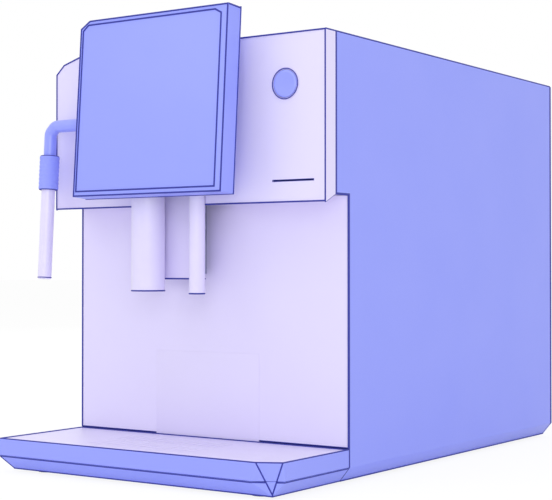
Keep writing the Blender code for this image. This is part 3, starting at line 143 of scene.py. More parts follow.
# %% [markdown]
# ## How a finish is built
#
# A finish is more than a colour. Powder coat is a film of melted grains, so it has a fine orange peel.
# Moulded plastic copies the spark-eroded grain of its tool. Brushed steel is streaked. So each finish here
# has two noises in real sizes: a fine grain that lifts the surface, and broad clouds that shift the gloss
# and, very slightly, the colour. Object coordinates are metres here, so a noise of scale 1/size has grains
# of that size. Stretching the coordinates turns grains into brush strokes. The pieces that differ get their
# own nodes on top of this.

# %% One node helper, and the common part of every finish
def add_node(tree, kind, settings=None, feeds=None):
    """Adds one node. Settings are properties or unlinked inputs; feeds are inputs joined to other sockets."""
    node = tree.nodes.new(kind)
    for key, value in (settings or {}).items():
        if isinstance(key, int) or key in node.inputs:
            node.inputs[key].default_value = value
        else:
            setattr(node, key, value)
    for key, socket in (feeds or {}).items():
        tree.links.new(socket, node.inputs[key])
    return node


def finish_of(name, colours, gloss, grain, relief, stretch=(1, 1, 1), clouds=90 * MM, **even):
    """A Principled surface whose colour and roughness run between two values with broad clouds of noise.

    Fine noise of the given grain, stretched per axis, lifts the surface by relief. Where the stretch makes
    streaks, the fine noise runs the colour and the roughness too. The even values are set on the shader's own
    sockets. Returns the material and a dictionary of what later steps may join to.
    """
    material = bpy.data.materials.new(name)
    material.use_nodes = True
    tree = material.node_tree
    shader = tree.nodes["Principled BSDF"]
    for key, value in even.items():
        shader.inputs[key.replace("_", " ")].default_value = value
    place = add_node(tree, "ShaderNodeTexCoord").outputs["Object"]
    drawn = add_node(tree, "ShaderNodeMapping", {"Scale": stretch}, {"Vector": place}).outputs["Vector"]
    fine = add_node(
        tree, "ShaderNodeTexNoise", {"Scale": 1 / grain, "Detail": 3.0, "Roughness": 0.6}, {"Vector": drawn}
    ).outputs["Fac"]
    broad = add_node(
        tree, "ShaderNodeTexNoise", {"Scale": 1 / clouds, "Detail": 3.0}, {"Vector": place}
    ).outputs["Fac"]
    streaked = max(stretch) / min(stretch) > 2
    cloud = fine if streaked else broad
    tint = add_node(
        tree, "ShaderNodeMix", {"data_type": "RGBA", 6: linear(colours[0]), 7: linear(colours[1])}, {0: cloud}
    ).outputs[2]
    rough = add_node(
        tree, "ShaderNodeMapRange", {"To Min": gloss[0], "To Max": gloss[1]}, {"Value": cloud}
    ).outputs["Result"]
    bump = add_node(tree, "ShaderNodeBump", {"Distance": relief}, {"Height": fine})
    tree.links.new(tint, shader.inputs["Base Color"])
    tree.links.new(rough, shader.inputs["Roughness"])
    tree.links.new(bump.outputs["Normal"], shader.inputs["Normal"])
    parts = {"tree": tree, "shader": shader, "place": place, "fine": fine, "tint": tint, "bump": bump}
    return material, parts


def join_colour(parts, mask, colour):
    """Lays a second colour over the tint where a mask is 1, and keeps it as the new tint."""
    tree = parts["tree"]
    over = add_node(
        tree, "ShaderNodeMix", {"data_type": "RGBA", 7: linear(colour)}, {0: mask, 6: parts["tint"]}
    )
    parts["tint"] = over.outputs[2]
    tree.links.new(parts["tint"], parts["shader"].inputs["Base Color"])


# %% [markdown]
# ### Edge lines
#
# Where two panels lie flush, a raised seal would catch on things, so the maker masks the edge of one panel
# and sprays a thin indigo line. A line is the part of the panel within its width of an edge. Each edge is a
# list of limits that must all hold, such as "below this height and ahead of this depth", and the lines join
# by maximum.

# %% Painted edge lines
def together(tree, operation, masks):
    """Joins a list of masks pairwise: their product is 1 where all hold, their maximum where any holds."""
    total = masks[0]
    for mask in masks[1:]:
        total = add_node(tree, "ShaderNodeMath", {"operation": operation}, {0: total, 1: mask}).outputs[0]
    return total


def paint_lines(parts, edges):
    """Indigo where, for any edge, every (axis, sign, limit) holds: sign * coordinate > sign * limit."""
    tree = parts["tree"]
    split = add_node(tree, "ShaderNodeSeparateXYZ", {}, {"Vector": parts["place"]})
    lines = []
    for edge in edges:
        tests = []
        for axis, sign, limit in edge:
            kind = "GREATER_THAN" if sign > 0 else "LESS_THAN"
            test = add_node(tree, "ShaderNodeMath", {"operation": kind, 1: limit}, {0: split.outputs[axis]})
            tests.append(test.outputs[0])
        lines.append(together(tree, "MULTIPLY", tests))
    join_colour(parts, together(tree, "MAXIMUM", lines), INDIGO)


print("painted lines are", in_mm([LINE, SIDE_LINE, TOP_LINE]), "mm wide")

# %% [markdown]
# ### Powder coat
#
# The side panels, rear panel, cover and plinth are zinc-coated steel sheet, and the screen's housing is a
# zinc casting. All are sprayed with polyester powder and baked at 180 °C. The grains melt into an orange
# peel about 1.6 mm from hump to hump and a few microns deep, which is drawn deeper here so that it still
# shows from a metre away. Between the humps stay small lighter specks, where a grain of pigment melted
# late: Voronoi cells 2.6 mm apart with a dot in each.

# %% Powder-coated periwinkle sheet
def powder_coat(name, colours, gloss, edges=()):
    """Orange peel from fine noise, and dots where the distance to the nearest Voronoi point is small."""
    material, parts = finish_of(name, colours, gloss, 1.6 * MM, 0.05 * MM)
    tree = parts["tree"]
    cells = add_node(tree, "ShaderNodeTexVoronoi", {"Scale": 1 / (2.6 * MM)}, {"Vector": parts["place"]})
    dots = add_node(
        tree, "ShaderNodeMapRange", {"From Min": 0.18, "From Max": 0.10, "To Min": 0.0, "To Max": 0.30},
        {"Value": cells.outputs["Distance"]},
    )
    join_colour(parts, dots.outputs["Result"], SPECK)
    if edges:
        paint_lines(parts, edges)
    return material


FRONT_LINES = [
    [("Y", -1, HEAD_BACK + SIDE_LINE)],
    [("Y", -1, NICHE_WALL + LINE), ("Z", -1, UNDERSIDE + LINE)],
    [("Y", 1, SIDE_HIGH[1] - SIDE_LINE)],
    [("Z", 1, TOP - TOP_LINE)],
]
SIDE_PAINT = powder_coat("powder_coated_steel_sides", (PERIWINKLE, "95A0FD"), (0.42, 0.56), FRONT_LINES)
COVER_PAINT = powder_coat(
    "powder_coated_steel_cover", (PERIWINKLE, "95A0FD"), (0.42, 0.56),
    [[("Y", -1, HEAD_BACK + LINE)], [("Y", 1, SIDE_HIGH[1] - LINE)]],
)
REAR_PAINT = powder_coat(
    "powder_coated_steel_rear", (PERIWINKLE, "929DFA"), (0.44, 0.58),
    [[("X", 1, HALF - LINE)], [("X", -1, LINE - HALF)], [("Z", 1, TOP - LINE)]],
)
PLINTH_PAINT = powder_coat("powder_coated_steel_plinth", (PERIWINKLE, "95A0FD"), (0.42, 0.56))
SCREEN_PAINT = powder_coat("powder_coated_zinc_casting", (PERIWINKLE, "96A1FE"), (0.36, 0.50))
print("powder coats", len(bpy.data.materials))

# %% [markdown]
# ### Moulded plastic and silicone
#
# The head, its strip, the niche wall and the cup rest are injection moulded. The tool is spark eroded,
# which leaves an even grain, drawn here about a millimetre wide so that it shows, and the melt leaves
# clouds a hand wide where it cooled at different speeds. The seals are silicone cord: the same recipe, but
# matt and deep indigo. The wand's grip is a soft-touch TPE.

# %% Plastics and seals
def moulded(name, colours, gloss, grain=0.8 * MM, relief=0.02 * MM, edges=()):
    """Even spark-eroded grain, with flow clouds 140 mm across."""
    material, parts = finish_of(name, colours, gloss, grain, relief, clouds=140 * MM)
    if edges:
        paint_lines(parts, edges)
    return material


HEAD_LINES = [[("Z", 1, TOP - TOP_LINE), ("X", 1, HALF - SIDE_LINE)]]
HEAD_PLASTIC = moulded("moulded_abs_lavender", (LAVENDER, "E3DCFE"), (0.36, 0.48), edges=HEAD_LINES)
NICHE_PLASTIC = moulded("moulded_abs_lavender_matt", (LAVENDER, "E2DBFD"), (0.46, 0.58), 1.1 * MM, 0.03 * MM)
TRAY_PLASTIC = moulded(
    "moulded_polypropylene_lavender", (LAVENDER, "E4DDFE"), (0.42, 0.54), 1.4 * MM, 0.03 * MM
)
TRAY_PAINT = moulded("moulded_abs_periwinkle", (PERIWINKLE, "959FFD"), (0.36, 0.48))
SEAL = moulded("extruded_silicone_indigo", (INDIGO, "272E97"), (0.52, 0.66), 0.5 * MM, 0.02 * MM)
GRIP = moulded("soft_touch_tpe_periwinkle", (PERIWINKLE, "949FFC"), (0.52, 0.66), 0.5 * MM, 0.02 * MM)
BUTTON_CAP = moulded(
    "moulded_acetal_periwinkle", (PERIWINKLE, "9FA9FF"), (0.28, 0.38), 0.7 * MM, 0.015 * MM
)
print("plastics and seals done,", len(bpy.data.materials), "finishes so far")

# %% [markdown]
# ### Turned, brushed and cast metal
#
# The outlets and the wand are stainless tube under a tinted lacquer, so they show fine rings from the lathe
# through a clear coat. The rings are a band wave along z. The boilers are brushed: noise stretched thirty
# to one along the stroke. Sheet brackets are galvanised, with spangles a centimetre wide: Voronoi cells,
# each with its own grey. Castings show soft lumps the size of sand grains.

# %% Metals
def turned_lacquer(name, colours, gloss, ring, **even):
    """Lathe rings this far apart along z: a band wave mixed into the height that lifts the surface."""
    material, parts = finish_of(name, colours, gloss, 0.9 * MM, 0.008 * MM, clouds=20 * MM, **even)
    bands = add_node(
        parts["tree"], "ShaderNodeTexWave",
        {"bands_direction": "Z", "Scale": 2 * math.pi / (20 * ring), "Distortion": 0.2},
        {"Vector": parts["place"]},
    )
    height = add_node(
        parts["tree"], "ShaderNodeMix", {"data_type": "FLOAT", 0: 0.7},
        {2: parts["fine"], 3: bands.outputs["Fac"]},
    )
    parts["tree"].links.new(height.outputs[0], parts["bump"].inputs["Height"])
    return material


def galvanised(name, colours, gloss):
    """Zinc spangles: the random grey of each Voronoi cell 9 mm wide runs the tint; the gloss follows the
    broad clouds.
    """
    material, parts = finish_of(name, colours, gloss, 1.2 * MM, 0.01 * MM, Metallic=0.9)
    tree = parts["tree"]
    cells = add_node(tree, "ShaderNodeTexVoronoi", {"Scale": 1 / (9 * MM)}, {"Vector": parts["place"]})
    grey = add_node(tree, "ShaderNodeRGBToBW", {}, {"Color": cells.outputs["Color"]}).outputs["Val"]
    tint = add_node(
        tree, "ShaderNodeMix", {"data_type": "RGBA", 6: linear(colours[0]), 7: linear(colours[1])}, {0: grey}
    )
    tree.links.new(tint.outputs[2], parts["shader"].inputs["Base Color"])
    return material


CLEAR_COAT = {"Coat_Weight": 0.3, "Coat_Roughness": 0.2}
OUTLET_STEEL = turned_lacquer(
    "lacquered_turned_steel_lavender", (LAVENDER, "E1DAFC"), (0.26, 0.38), 0.8 * MM, **CLEAR_COAT
)
ARM_STEEL = turned_lacquer(
    "lacquered_steel_periwinkle", (PERIWINKLE, "939EFB"), (0.28, 0.40), 0.9 * MM, **CLEAR_COAT
)
PIN_STEEL = turned_lacquer("turned_stainless_pin", ("BBBECA", "A6A9B8"), (0.24, 0.36), 0.7 * MM, Metallic=1.0)
BRUSHED = finish_of(
    "brushed_stainless", ("C8CAD4", "AEB0BD"), (0.26, 0.44), 0.7 * MM, 0.01 * MM, (1, 1, 1 / 30), Metallic=1.0
)[0]
ZINC_SHEET = galvanised("galvanised_steel_sheet", ("B9BCCB", "9498AD"), (0.36, 0.52))
BRASS = finish_of("cast_brass", ("C79B55", "A97B3C"), (0.28, 0.44), 2.2 * MM, 0.1 * MM, Metallic=1.0)[0]
DIE_CAST = finish_of("die_cast_zinc", ("9DA1B4", "83889E"), (0.38, 0.54), 2.0 * MM, 0.1 * MM, Metallic=0.9)[0]
print("metals done,", len(bpy.data.materials), "finishes so far")

# %% [markdown]
# ### The inside, the feet and the screen
#
# Glass-filled nylon, in the fan and the brew chamber, shows short fibres as a streaky mottle: noise drawn
# out three to one. The hopper is smoked copolyester: light passes, tinted and a little blurred by handling.
# The cover glass is printed on its back, so its colour is an even, fine-grained layer under a clear gloss
# that carries the faint smears of fingers, which is the broad cloud in its roughness. The display behind it
# is a grid of cells.

# %% Nylon, rubber, hose, hopper and glass
NYLON_RELIEF = {"gloss": (0.48, 0.64), "grain": 0.6 * MM, "relief": 0.03 * MM, "stretch": (1, 1, 0.3)}
NYLON_DARK = finish_of("glass_filled_nylon_dark", ("2A2C3E", "3D4056"), **NYLON_RELIEF)[0]
NYLON_GREY = finish_of("glass_filled_nylon_grey", ("6A6F8C", "565B78"), **NYLON_RELIEF)[0]
CONTROL_ABS = finish_of("moulded_abs_grey", ("7C82A0", "70769A"), (0.42, 0.54), 0.9 * MM, 0.03 * MM)[0]
RUBBER = finish_of("moulded_rubber", ("24263A", "1B1D2E"), (0.70, 0.88), 0.7 * MM, 0.04 * MM)[0]
HOSE = finish_of(
    "braided_hose_dark", ("33364D", "4D5170"), (0.44, 0.6), 1.0 * MM, 0.08 * MM, (1, 1, 0.4)
)[0]
HOPPER = finish_of(
    "smoked_copolyester", ("6C718F", "585D7A"), (0.08, 0.22), 3.0 * MM, 0.01 * MM, clouds=25 * MM,
    Transmission_Weight=0.75, IOR=1.52,
)[0]
GLASS = finish_of(
    "back_printed_cover_glass", (PERIWINKLE, "96A1FE"), (0.24, 0.40), 0.4 * MM, 0.002 * MM, clouds=45 * MM,
    Coat_Weight=0.1, Coat_Roughness=0.1, Specular_IOR_Level=0.35,
)[0]
DISPLAY, display_parts = finish_of("display_module", ("3B4063", "343956"), (0.3, 0.42), 1.0 * MM, 0.01 * MM)
cells = add_node(
    display_parts["tree"], "ShaderNodeTexBrick", {"Scale": 1 / (6 * MM), "Mortar Size": 0.04},
    {"Vector": display_parts["place"]},
)
join_colour(display_parts, cells.outputs["Fac"], "5E6490")
print("finishes", len(bpy.data.materials))

# %% [markdown]
# ## Dressing the frame's own pieces
#
# The frame's panels already have the right planes and folds, so they stay. Their edges are razor sharp,
# which no pressed or moulded part is. A weld joins their loose triangles, a limited dissolve makes whole
# faces again, and a bevel of about half a millimetre then catches the light along every fold. The material
# carries the rest. A flat face with many holes doesn't come back whole that way, so the rear panel, with
# its grille and vents, the niche wall and the bin keep their sharp edges.

# %% Materials and rounded edges on the frame
DRESS = {
    SIDE_PAINT: "left_side_panel right_side_panel",
    COVER_PAINT: "top_cover",
    REAR_PAINT: "rear_panel",
    PLINTH_PAINT: "base_pan hopper_lid",
    SCREEN_PAINT: "display_housing display_rear_cover",
    HEAD_PLASTIC: "head_shell button_bezel",
    NICHE_PLASTIC: "recess_panel outlet_carriage grounds_bin",
    TRAY_PLASTIC: "drip_grid",
    TRAY_PAINT: "drip_tray wand_boss start_button",
    SEAL: "card_reader",
    GLASS: "display_glass",
    DISPLAY: "display_panel",
    OUTLET_STEEL: "coffee_outlet hot_water_outlet wand_tube",
    ARM_STEEL: "wand_arm",
    GRIP: "wand_grip",
    BRUSHED: "steam_boiler coffee_boiler wand_nozzle brew_frame",
    ZINC_SHEET: "mid_bulkhead equipment_shelf display_bracket grinder_bracket outlet_rail",
    BRASS: "brew_piston water_inlet_valve pump",
    DIE_CAST: "grinder_housing brew_motor grinder_motor",
    PIN_STEEL: "display_hinge_pin lid_hinge_pin brew_spindle upper_burr lower_burr",
    NYLON_DARK: "fan_frame fan_rotor power_inlet power_rocker button_switch coffee_nozzle",
    NYLON_GREY: "brew_chamber",
    CONTROL_ABS: "control_box",
    RUBBER: "foot_front_left foot_front_right foot_rear_left foot_rear_right",
    HOSE: "steam_hose water_hose",
    HOPPER: "bean_hopper",
}
ROUNDED = {
    "left_side_panel": 0.6, "right_side_panel": 0.6, "top_cover": 0.5, "base_pan": 0.7,
    "hopper_lid": 1.0, "display_housing": 0.8, "head_shell": 0.7, "outlet_carriage": 0.5,
    "drip_tray": 0.7, "wand_boss": 1.5, "power_inlet": 0.5,
    "power_rocker": 0.5, "control_box": 1.2, "bean_hopper": 0.4, "pump": 0.6, "grinder_housing": 0.8,
    "equipment_shelf": 0.4, "mid_bulkhead": 0.4, "display_rear_cover": 0.4, "fan_frame": 0.6,
}


def soften(obj, width):
    """Joins loose triangles, makes flat faces whole, then rounds edges over 28 degrees, by millimetres."""
    weld = obj.modifiers.new("join_triangles", "WELD")
    weld.merge_threshold = 0.02 * MM
    whole = obj.modifiers.new("whole_faces", "DECIMATE")
    whole.decimate_type = "DISSOLVE"
    whole.angle_limit = math.radians(0.5)
    edge = obj.modifiers.new("rounded_edge", "BEVEL")
    edge.width = width * MM
    edge.segments = 3
    edge.limit_method = "ANGLE"
    edge.angle_limit = math.radians(28)
    edge.miter_outer = "MITER_ARC"


dressed = {node: material for material, names in DRESS.items() for node in names.split()}
for node, material in dressed.items():
    NODES[node].data.materials.clear()
    NODES[node].data.materials.append(material)
for node, width in ROUNDED.items():
    soften(NODES[node], width)
print("dressed", len(dressed), "of", len(NODES), "pieces, rounded", len(ROUNDED))

# %% [markdown]
# ## Tools for new pieces
#
# New pieces are computed as whole arrays. A shape is a grid of points, rows by columns: `grid_faces` joins
# the neighbours into quads. A turned part is a profile carried round an axis. A seal is a small ring
# carried along a path. A plate is its outline carried from the back face, round the edge and on to the
# front. All three are a profile along a path, so they share one function that puts points and faces into a
# mesh.

# %% From a grid of points to an object
made = []
CREASE = math.radians(35)  # an edge that folds by more than this stays sharp


def put_piece(name, points, faces, material, body):
    """Points and faces to a smooth-shaded object at the origin, creased over 35 degrees, riding on a body."""
    mesh = bpy.data.meshes.new(name)
    mesh.from_pydata(points.reshape(-1, 3).tolist(), [], faces)
    shape = bmesh.new()
    shape.from_mesh(mesh)
    bmesh.ops.remove_doubles(shape, verts=shape.verts, dist=1e-6)
    bmesh.ops.recalc_face_normals(shape, faces=shape.faces)
    shape.to_mesh(mesh)
    shape.free()
    mesh.shade_smooth()
    mesh.set_sharp_from_angle(angle=CREASE)
    mesh.materials.append(material)
    obj = bpy.data.objects.new(name, mesh)
    bpy.context.scene.collection.objects.link(obj)
    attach(obj, body)
    made.append(obj)
    return obj


def grid_faces(rows, columns, ring=False, capped=False):
    """Quads of a grid whose columns close on themselves. Rows close too for a ring; a cap is an end row."""
    row, column = np.arange(rows if ring else rows - 1)[:, None], np.arange(columns)[None, :]
    here, below = row * columns, ((row + 1) % rows) * columns
    beside = (column + 1) % columns
    quads = np.stack([here + column, here + beside, below + beside, below + column], axis=-1)
    last = (rows - 1) * columns
    caps = [list(range(columns))[::-1], list(range(last, last + columns))] if capped else []
    return quads.reshape(-1, 4).tolist() + caps


def turned(name, profile, centre, axis, material, body, steps=72):
    """Each (radius, height) of a profile becomes a circle round an axis through the centre.

    Its points are centre + height * axis + radius * (cos * across + sin * (axis x across)). A profile that
    starts and ends off the axis gets flat ends, unless it closes on itself, as a ring's does.
    """
    profile, axis = np.array(profile, float), np.array(axis, float) / np.linalg.norm(axis)
    across = np.cross(axis, (0, 0, 1) if abs(axis[2]) < 0.9 else (1, 0, 0))
    across /= np.linalg.norm(across)
    angle = np.linspace(0, 2 * math.pi, steps, endpoint=False)[:, None]
    spoke = np.cos(angle) * across + np.sin(angle) * np.cross(axis, across)
    points = np.array(centre) + profile[:, None, :1] * spoke + profile[:, None, 1:] * axis
    open_ended = profile[0, 0] > 0 and profile[-1, 0] > 0 and not np.allclose(profile[0], profile[-1])
    return put_piece(name, points, grid_faces(len(profile), steps, capped=open_ended), material, body)


def swept(name, path, ring, material, body, closed=False, up=(0, 0, 1)):
    """A ring of (side, up) offsets carried along a path, mitred where the path turns.

    The tangent is the mean of the directions before and after a point; side is tangent x up. At a corner the
    ring is widened by 1 / cos(half the turn), so that a straight run keeps its width up to the mitre.
    """
    path, ring = np.array(path, float), np.array(ring, float)
    ahead, behind = np.roll(path, -1, axis=0) - path, path - np.roll(path, 1, axis=0)
    if not closed:
        ahead[-1], behind[0] = behind[-1], ahead[0]
    ahead /= np.linalg.norm(ahead, axis=1)[:, None]
    behind /= np.linalg.norm(behind, axis=1)[:, None]
    tangent = ahead + behind
    tangent /= np.linalg.norm(tangent, axis=1)[:, None]
    mitre = 1 / np.maximum(0.35, np.sqrt((1 + (ahead * behind).sum(axis=1)) / 2))
    side = np.cross(tangent, np.broadcast_to(np.array(up, float), path.shape))
    side /= np.linalg.norm(side, axis=1)[:, None]
    rise = np.cross(side, tangent)
    wide = (side * mitre[:, None])[:, None]
    points = path[:, None] + ring[:, 0, None] * wide + ring[:, 1, None] * rise[:, None]
    return put_piece(name, points, grid_faces(len(path), len(ring), closed, not closed), material, body)


def circle(radius, sides=10, flat=1.0):
    """Offsets round a circle, squashed in its second direction."""
    angle = np.linspace(0, 2 * math.pi, sides, endpoint=False) + math.pi / sides
    return np.stack([radius * np.cos(angle), radius * flat * np.sin(angle)], axis=1)


def bead(name, path, body, closed=False, up=(0, 0, 1), radius=BEAD):
    """A round silicone cord along a path. Half of it sinks into the surface that the path lies on."""
    return swept(name, path, circle(radius), SEAL, body, closed, up)


def inset(outline, by):
    """Moves each side of an anticlockwise outline inwards: a corner moves by / cos(half its turn)."""
    outline = np.array(outline, float)
    ahead, behind = np.roll(outline, -1, axis=0) - outline, outline - np.roll(outline, 1, axis=0)
    ahead /= np.linalg.norm(ahead, axis=1)[:, None]
    behind /= np.linalg.norm(behind, axis=1)[:, None]
    inward = np.stack([-ahead[:, 1] - behind[:, 1], ahead[:, 0] + behind[:, 0]], axis=1)
    return outline + inward * (by / (1 + (ahead * behind).sum(axis=1)))[:, None]


def plate(name, outline, lift, thickness, edge, material, body, steps=5):
    """A flat plate with a quarter-round front edge.

    Its rows are copies of the outline. The first lies at the back. The others are inset by edge * (1 - cos t)
    at a depth of edge * (1 - sin t), over a quarter turn. lift takes (across, up) and a depth to space.
    """
    turn = np.linspace(0, math.pi / 2, steps)
    rows = [(0.0, thickness)] + [(edge * (1 - math.cos(t)), edge * (1 - math.sin(t))) for t in turn]
    points = np.stack([lift(inset(outline, by), depth) for by, depth in rows])
    return put_piece(name, points, grid_faces(len(rows), len(outline), capped=True), material, body)


def screw(name, place, axis, radius, body):
    """A pan-head screw with a round socket: a domed profile, in radii, whose middle drops into the socket."""
    dome = [(0, -0.1), (1, -0.1), (1, 0.16), (0.93, 0.36), (0.72, 0.52), (0.45, 0.56)]
    drive = [(0.42, 0.50), (0.40, 0.12), (0, 0.10)]
    return turned(name, radius * np.array(dome + drive), place, axis, PIN_STEEL, body, steps=24)


print("tools ready; a seal is", BEAD / MM * 2, "mm wide")

# %% [markdown]
# ## The screen
#
# The screen tilts on a pin, and leans a few degrees at rest. Its pieces are drawn flat, as seen from the
# front, with x across, z up along the screen and y for depth, all from the pin. One function turns them
# into place. The lean isn't typed in: the cover glass of the frame is flat, so its largest face shows it.

# %% The screen's own frame
def widest_normal(node):
    """Outward normal of the face with the largest area."""
    mesh = NODES[node].data
    area, normal = np.empty(len(mesh.polygons)), np.empty(len(mesh.polygons) * 3)
    mesh.polygons.foreach_get("area", area)
    mesh.polygons.foreach_get("normal", normal)
    return normal.reshape(-1, 3)[area.argmax()]


def corners_of(node):
    """All points of a piece of the frame, as an array."""
    mesh = NODES[node].data
    points = np.empty(len(mesh.vertices) * 3)
    mesh.vertices.foreach_get("co", points)
    return points.reshape(-1, 3)


facing = widest_normal("display_glass")
facing = facing if facing[1] < 0 else -facing
SCREEN_UP = np.array([0, facing[2], -facing[1]])
SCREEN_PIN = np.array(JOINTS["display_tilt"]["pos_m"])
SCREEN_PIN[0] = 0.0


def on_screen(flat, depth):
    """(across, up) points at a depth to space: pin + across * x + up * SCREEN_UP - depth * facing."""
    flat = np.atleast_2d(flat)
    return SCREEN_PIN + flat[:, :1] * np.array([1.0, 0, 0]) + flat[:, 1:] * SCREEN_UP - depth * facing


def screen_span(node):
    """Lowest and highest (across, depth, up) of a piece in the screen's frame."""
    local = corners_of(node) - SCREEN_PIN
    local = np.stack([local[:, 0], -local @ facing, local @ SCREEN_UP], axis=1)
    return local.min(axis=0), local.max(axis=0)


def front_outline(node, depth):
    """The outline of a flat piece at a depth: its points there, anticlockwise by angle about their middle."""
    local = corners_of(node) - SCREEN_PIN
    near = np.abs(-local @ facing - depth) < NEAR
    flat = np.unique(np.round(np.stack([local[near, 0], local[near] @ SCREEN_UP], axis=1), 5), axis=0)
    middle = flat.mean(axis=0)
    return flat[np.argsort(np.arctan2(flat[:, 1] - middle[1], flat[:, 0] - middle[0]))]


glass_low, glass_high = screen_span("display_glass")
case_low = screen_span("display_housing")[0]
case_back = screen_span("display_rear_cover")[0][1]
glass_outline = front_outline("display_glass", glass_low[1])
case_outline = front_outline("display_rear_cover", case_back)
print("lean", round(math.degrees(math.asin(-facing[2])), 2), "degrees")
print("glass corners", len(glass_outline), "case corners", len(case_outline))

# %% [markdown]
# ### Cover glass, gasket and edge trim
#
# The glass is cut with two small corner facets and its edge is ground to a half-millimetre round, so it is
# a plate of its own in place of the sharp one. A silicone gasket fills the gap round it. The casing's front
# and back edges each carry a trim cord, half sunk, which protects the edge when the screen is folded up,
# and a third cord joins the two along the upper right corner.

# %% Glass and its seals
def case_path(by, depth):
    """The casing's outline, moved in and set at a depth."""
    return on_screen(inset(case_edge, by), depth)


wall = case_outline[:, 0].min() - case_low[0]  # the casing is the rear cover grown by its wall
case_edge = inset(case_outline, -wall)
cover_glass = plate(
    "cover_glass", glass_outline, lambda flat, depth: on_screen(flat, glass_low[1] + depth),
    glass_high[1] - glass_low[1], 0.5 * MM, GLASS, "display",
)
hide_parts("display_glass")
bead("glass_gasket", on_screen(inset(glass_outline, -0.2 * MM), glass_low[1]), "display", True, facing)
bead("case_front_trim", case_path(BEAD, case_low[1]), "display", True, facing)
bead("case_back_trim", case_path(0.2 * MM, case_back), "display", True, facing)
top_right = case_edge[case_edge.sum(axis=1).argmax()] - (0, BEAD)
corner_line = [on_screen(top_right, depth)[0] for depth in (case_low[1] + BEAD, case_back)]
bead("case_corner_trim", corner_line, "display", up=SCREEN_UP)
print("case edge", np.round(case_edge / MM, 1).tolist())

# %% [markdown]
# ## Trims on the body
#
# The head is one moulding whose front meets the steel sides along a strip. A cord runs round its front face
# and more along the free edges of the side panels: under the head, down beside the niche and along the foot
# on both sides, and along the top on the right, where the cover meets the panel. A path is a list of
# corners taken from the frame. Along the sides the cord is set in by its own radius, so that it never
# stands out past the panel's face. At the top it stands up a little, as a cord that covers a joint does.

# %% Head outline and side trims
RIM = HALF - BEAD
ROOF_BEAD = 1.1 * MM  # radius of the cord over the joint between the cover and the right side panel
ROOF_LIFT = 0.2 * MM  # how far that cord's middle stands above the top
FRONT_LIFT = 0.8 * MM  # how far the outer edge of the front cord stands above the top


def face_corners(node, y):
    """(x, z) of a piece's points that lie at one depth."""
    points = corners_of(node)
    return points[np.abs(points[:, 1] - y) < 0.2 * MM][:, [0, 2]]


def at_depth(flat, y):
    """(x, z) points to space at one depth."""
    flat = np.atleast_2d(flat)
    return np.stack([flat[:, 0], np.full(len(flat), y), flat[:, 1]], axis=1)


front = face_corners("head_shell", HEAD_FRONT)
left_fold = front[front[:, 0] < -HALF + NEAR][:, 1].max()
top_fold = front[front[:, 1] > TOP - NEAR][:, 0].min()
slope = front[(front[:, 0] > -HALF + MM) & (front[:, 0] < top_fold - MM) & (front[:, 1] > left_fold + MM)]
middle_fold = tuple(slope[slope[:, 1].argmax()])
foot_points = np.unique(np.round(front[np.abs(front[:, 1] - HEAD_BOTTOM) < NEAR][:, 0], 5))
notch_left, notch_right = foot_points[1], foot_points[-2]
roof = TOP + FRONT_LIFT
foot_and_right = [(-HALF, HEAD_BOTTOM), (HALF, HEAD_BOTTOM), (HALF, roof)]
head_face = inset([*foot_and_right, (top_fold, roof), middle_fold, (-HALF, left_fold)], BEAD)
foot_height = head_face[0, 1]
around = [(notch_right, foot_height), *head_face[1:], head_face[0], (notch_left, foot_height)]
bead("head_front_trim", at_depth(around, HEAD_FRONT), "frame", up=(0, -1, 0))

foot = face_corners("right_side_panel", SIDE_HIGH[1])
FOOT_EDGE = foot[foot[:, 1] < PLINTH_LOW[2] + NEAR][:, 0].max()
SIDE_BACK = SIDE_HIGH[1] - GAP
above_tray = TRAY_TOP + 1.4 * MM
niche_edge = [
    (HEAD_FRONT, HEAD_BOTTOM), (HEAD_BACK, UNDERSIDE), (NICHE_WALL, UNDERSIDE), (NICHE_WALL, above_tray)
]
for side, word in ((1, "right"), (-1, "left")):
    bead(f"{word}_niche_trim", [(side * RIM, y, z) for y, z in niche_edge], "frame", up=(side, 0, 0))
    foot_line = [(side * FOOT_EDGE, y, PLINTH_LOW[2]) for y in (NICHE_WALL + MM, SIDE_BACK)]
    bead(f"{word}_foot_trim", foot_line, "frame")
roof_line = [(HALF - ROOF_BEAD, y, TOP + ROOF_LIFT) for y in (HEAD_FRONT + BEAD, SIDE_BACK)]
bead("right_top_trim", roof_line, "frame", radius=ROOF_BEAD)
print("head notch", in_mm([notch_left, notch_right]), "mm; foot edge", in_mm(FOOT_EDGE), "mm")

# %% [markdown]
# ### Tray and plinth
#
# The drip tray slides out, so it carries its own lip seal round the top, and the corner facet has a cord
# along each of its two edges, which meet in a V at the foot. The plinth under it leans in, and its top edge
# carries a rubbing strip just under the tray's band, set back by its own radius from the tray's front. At
# the cut corner the strip turns and ends at the V's cords. The facet's three corners are found from the
# frame: they are where the tray's front right is cut, and the foot of the plinth's corner.

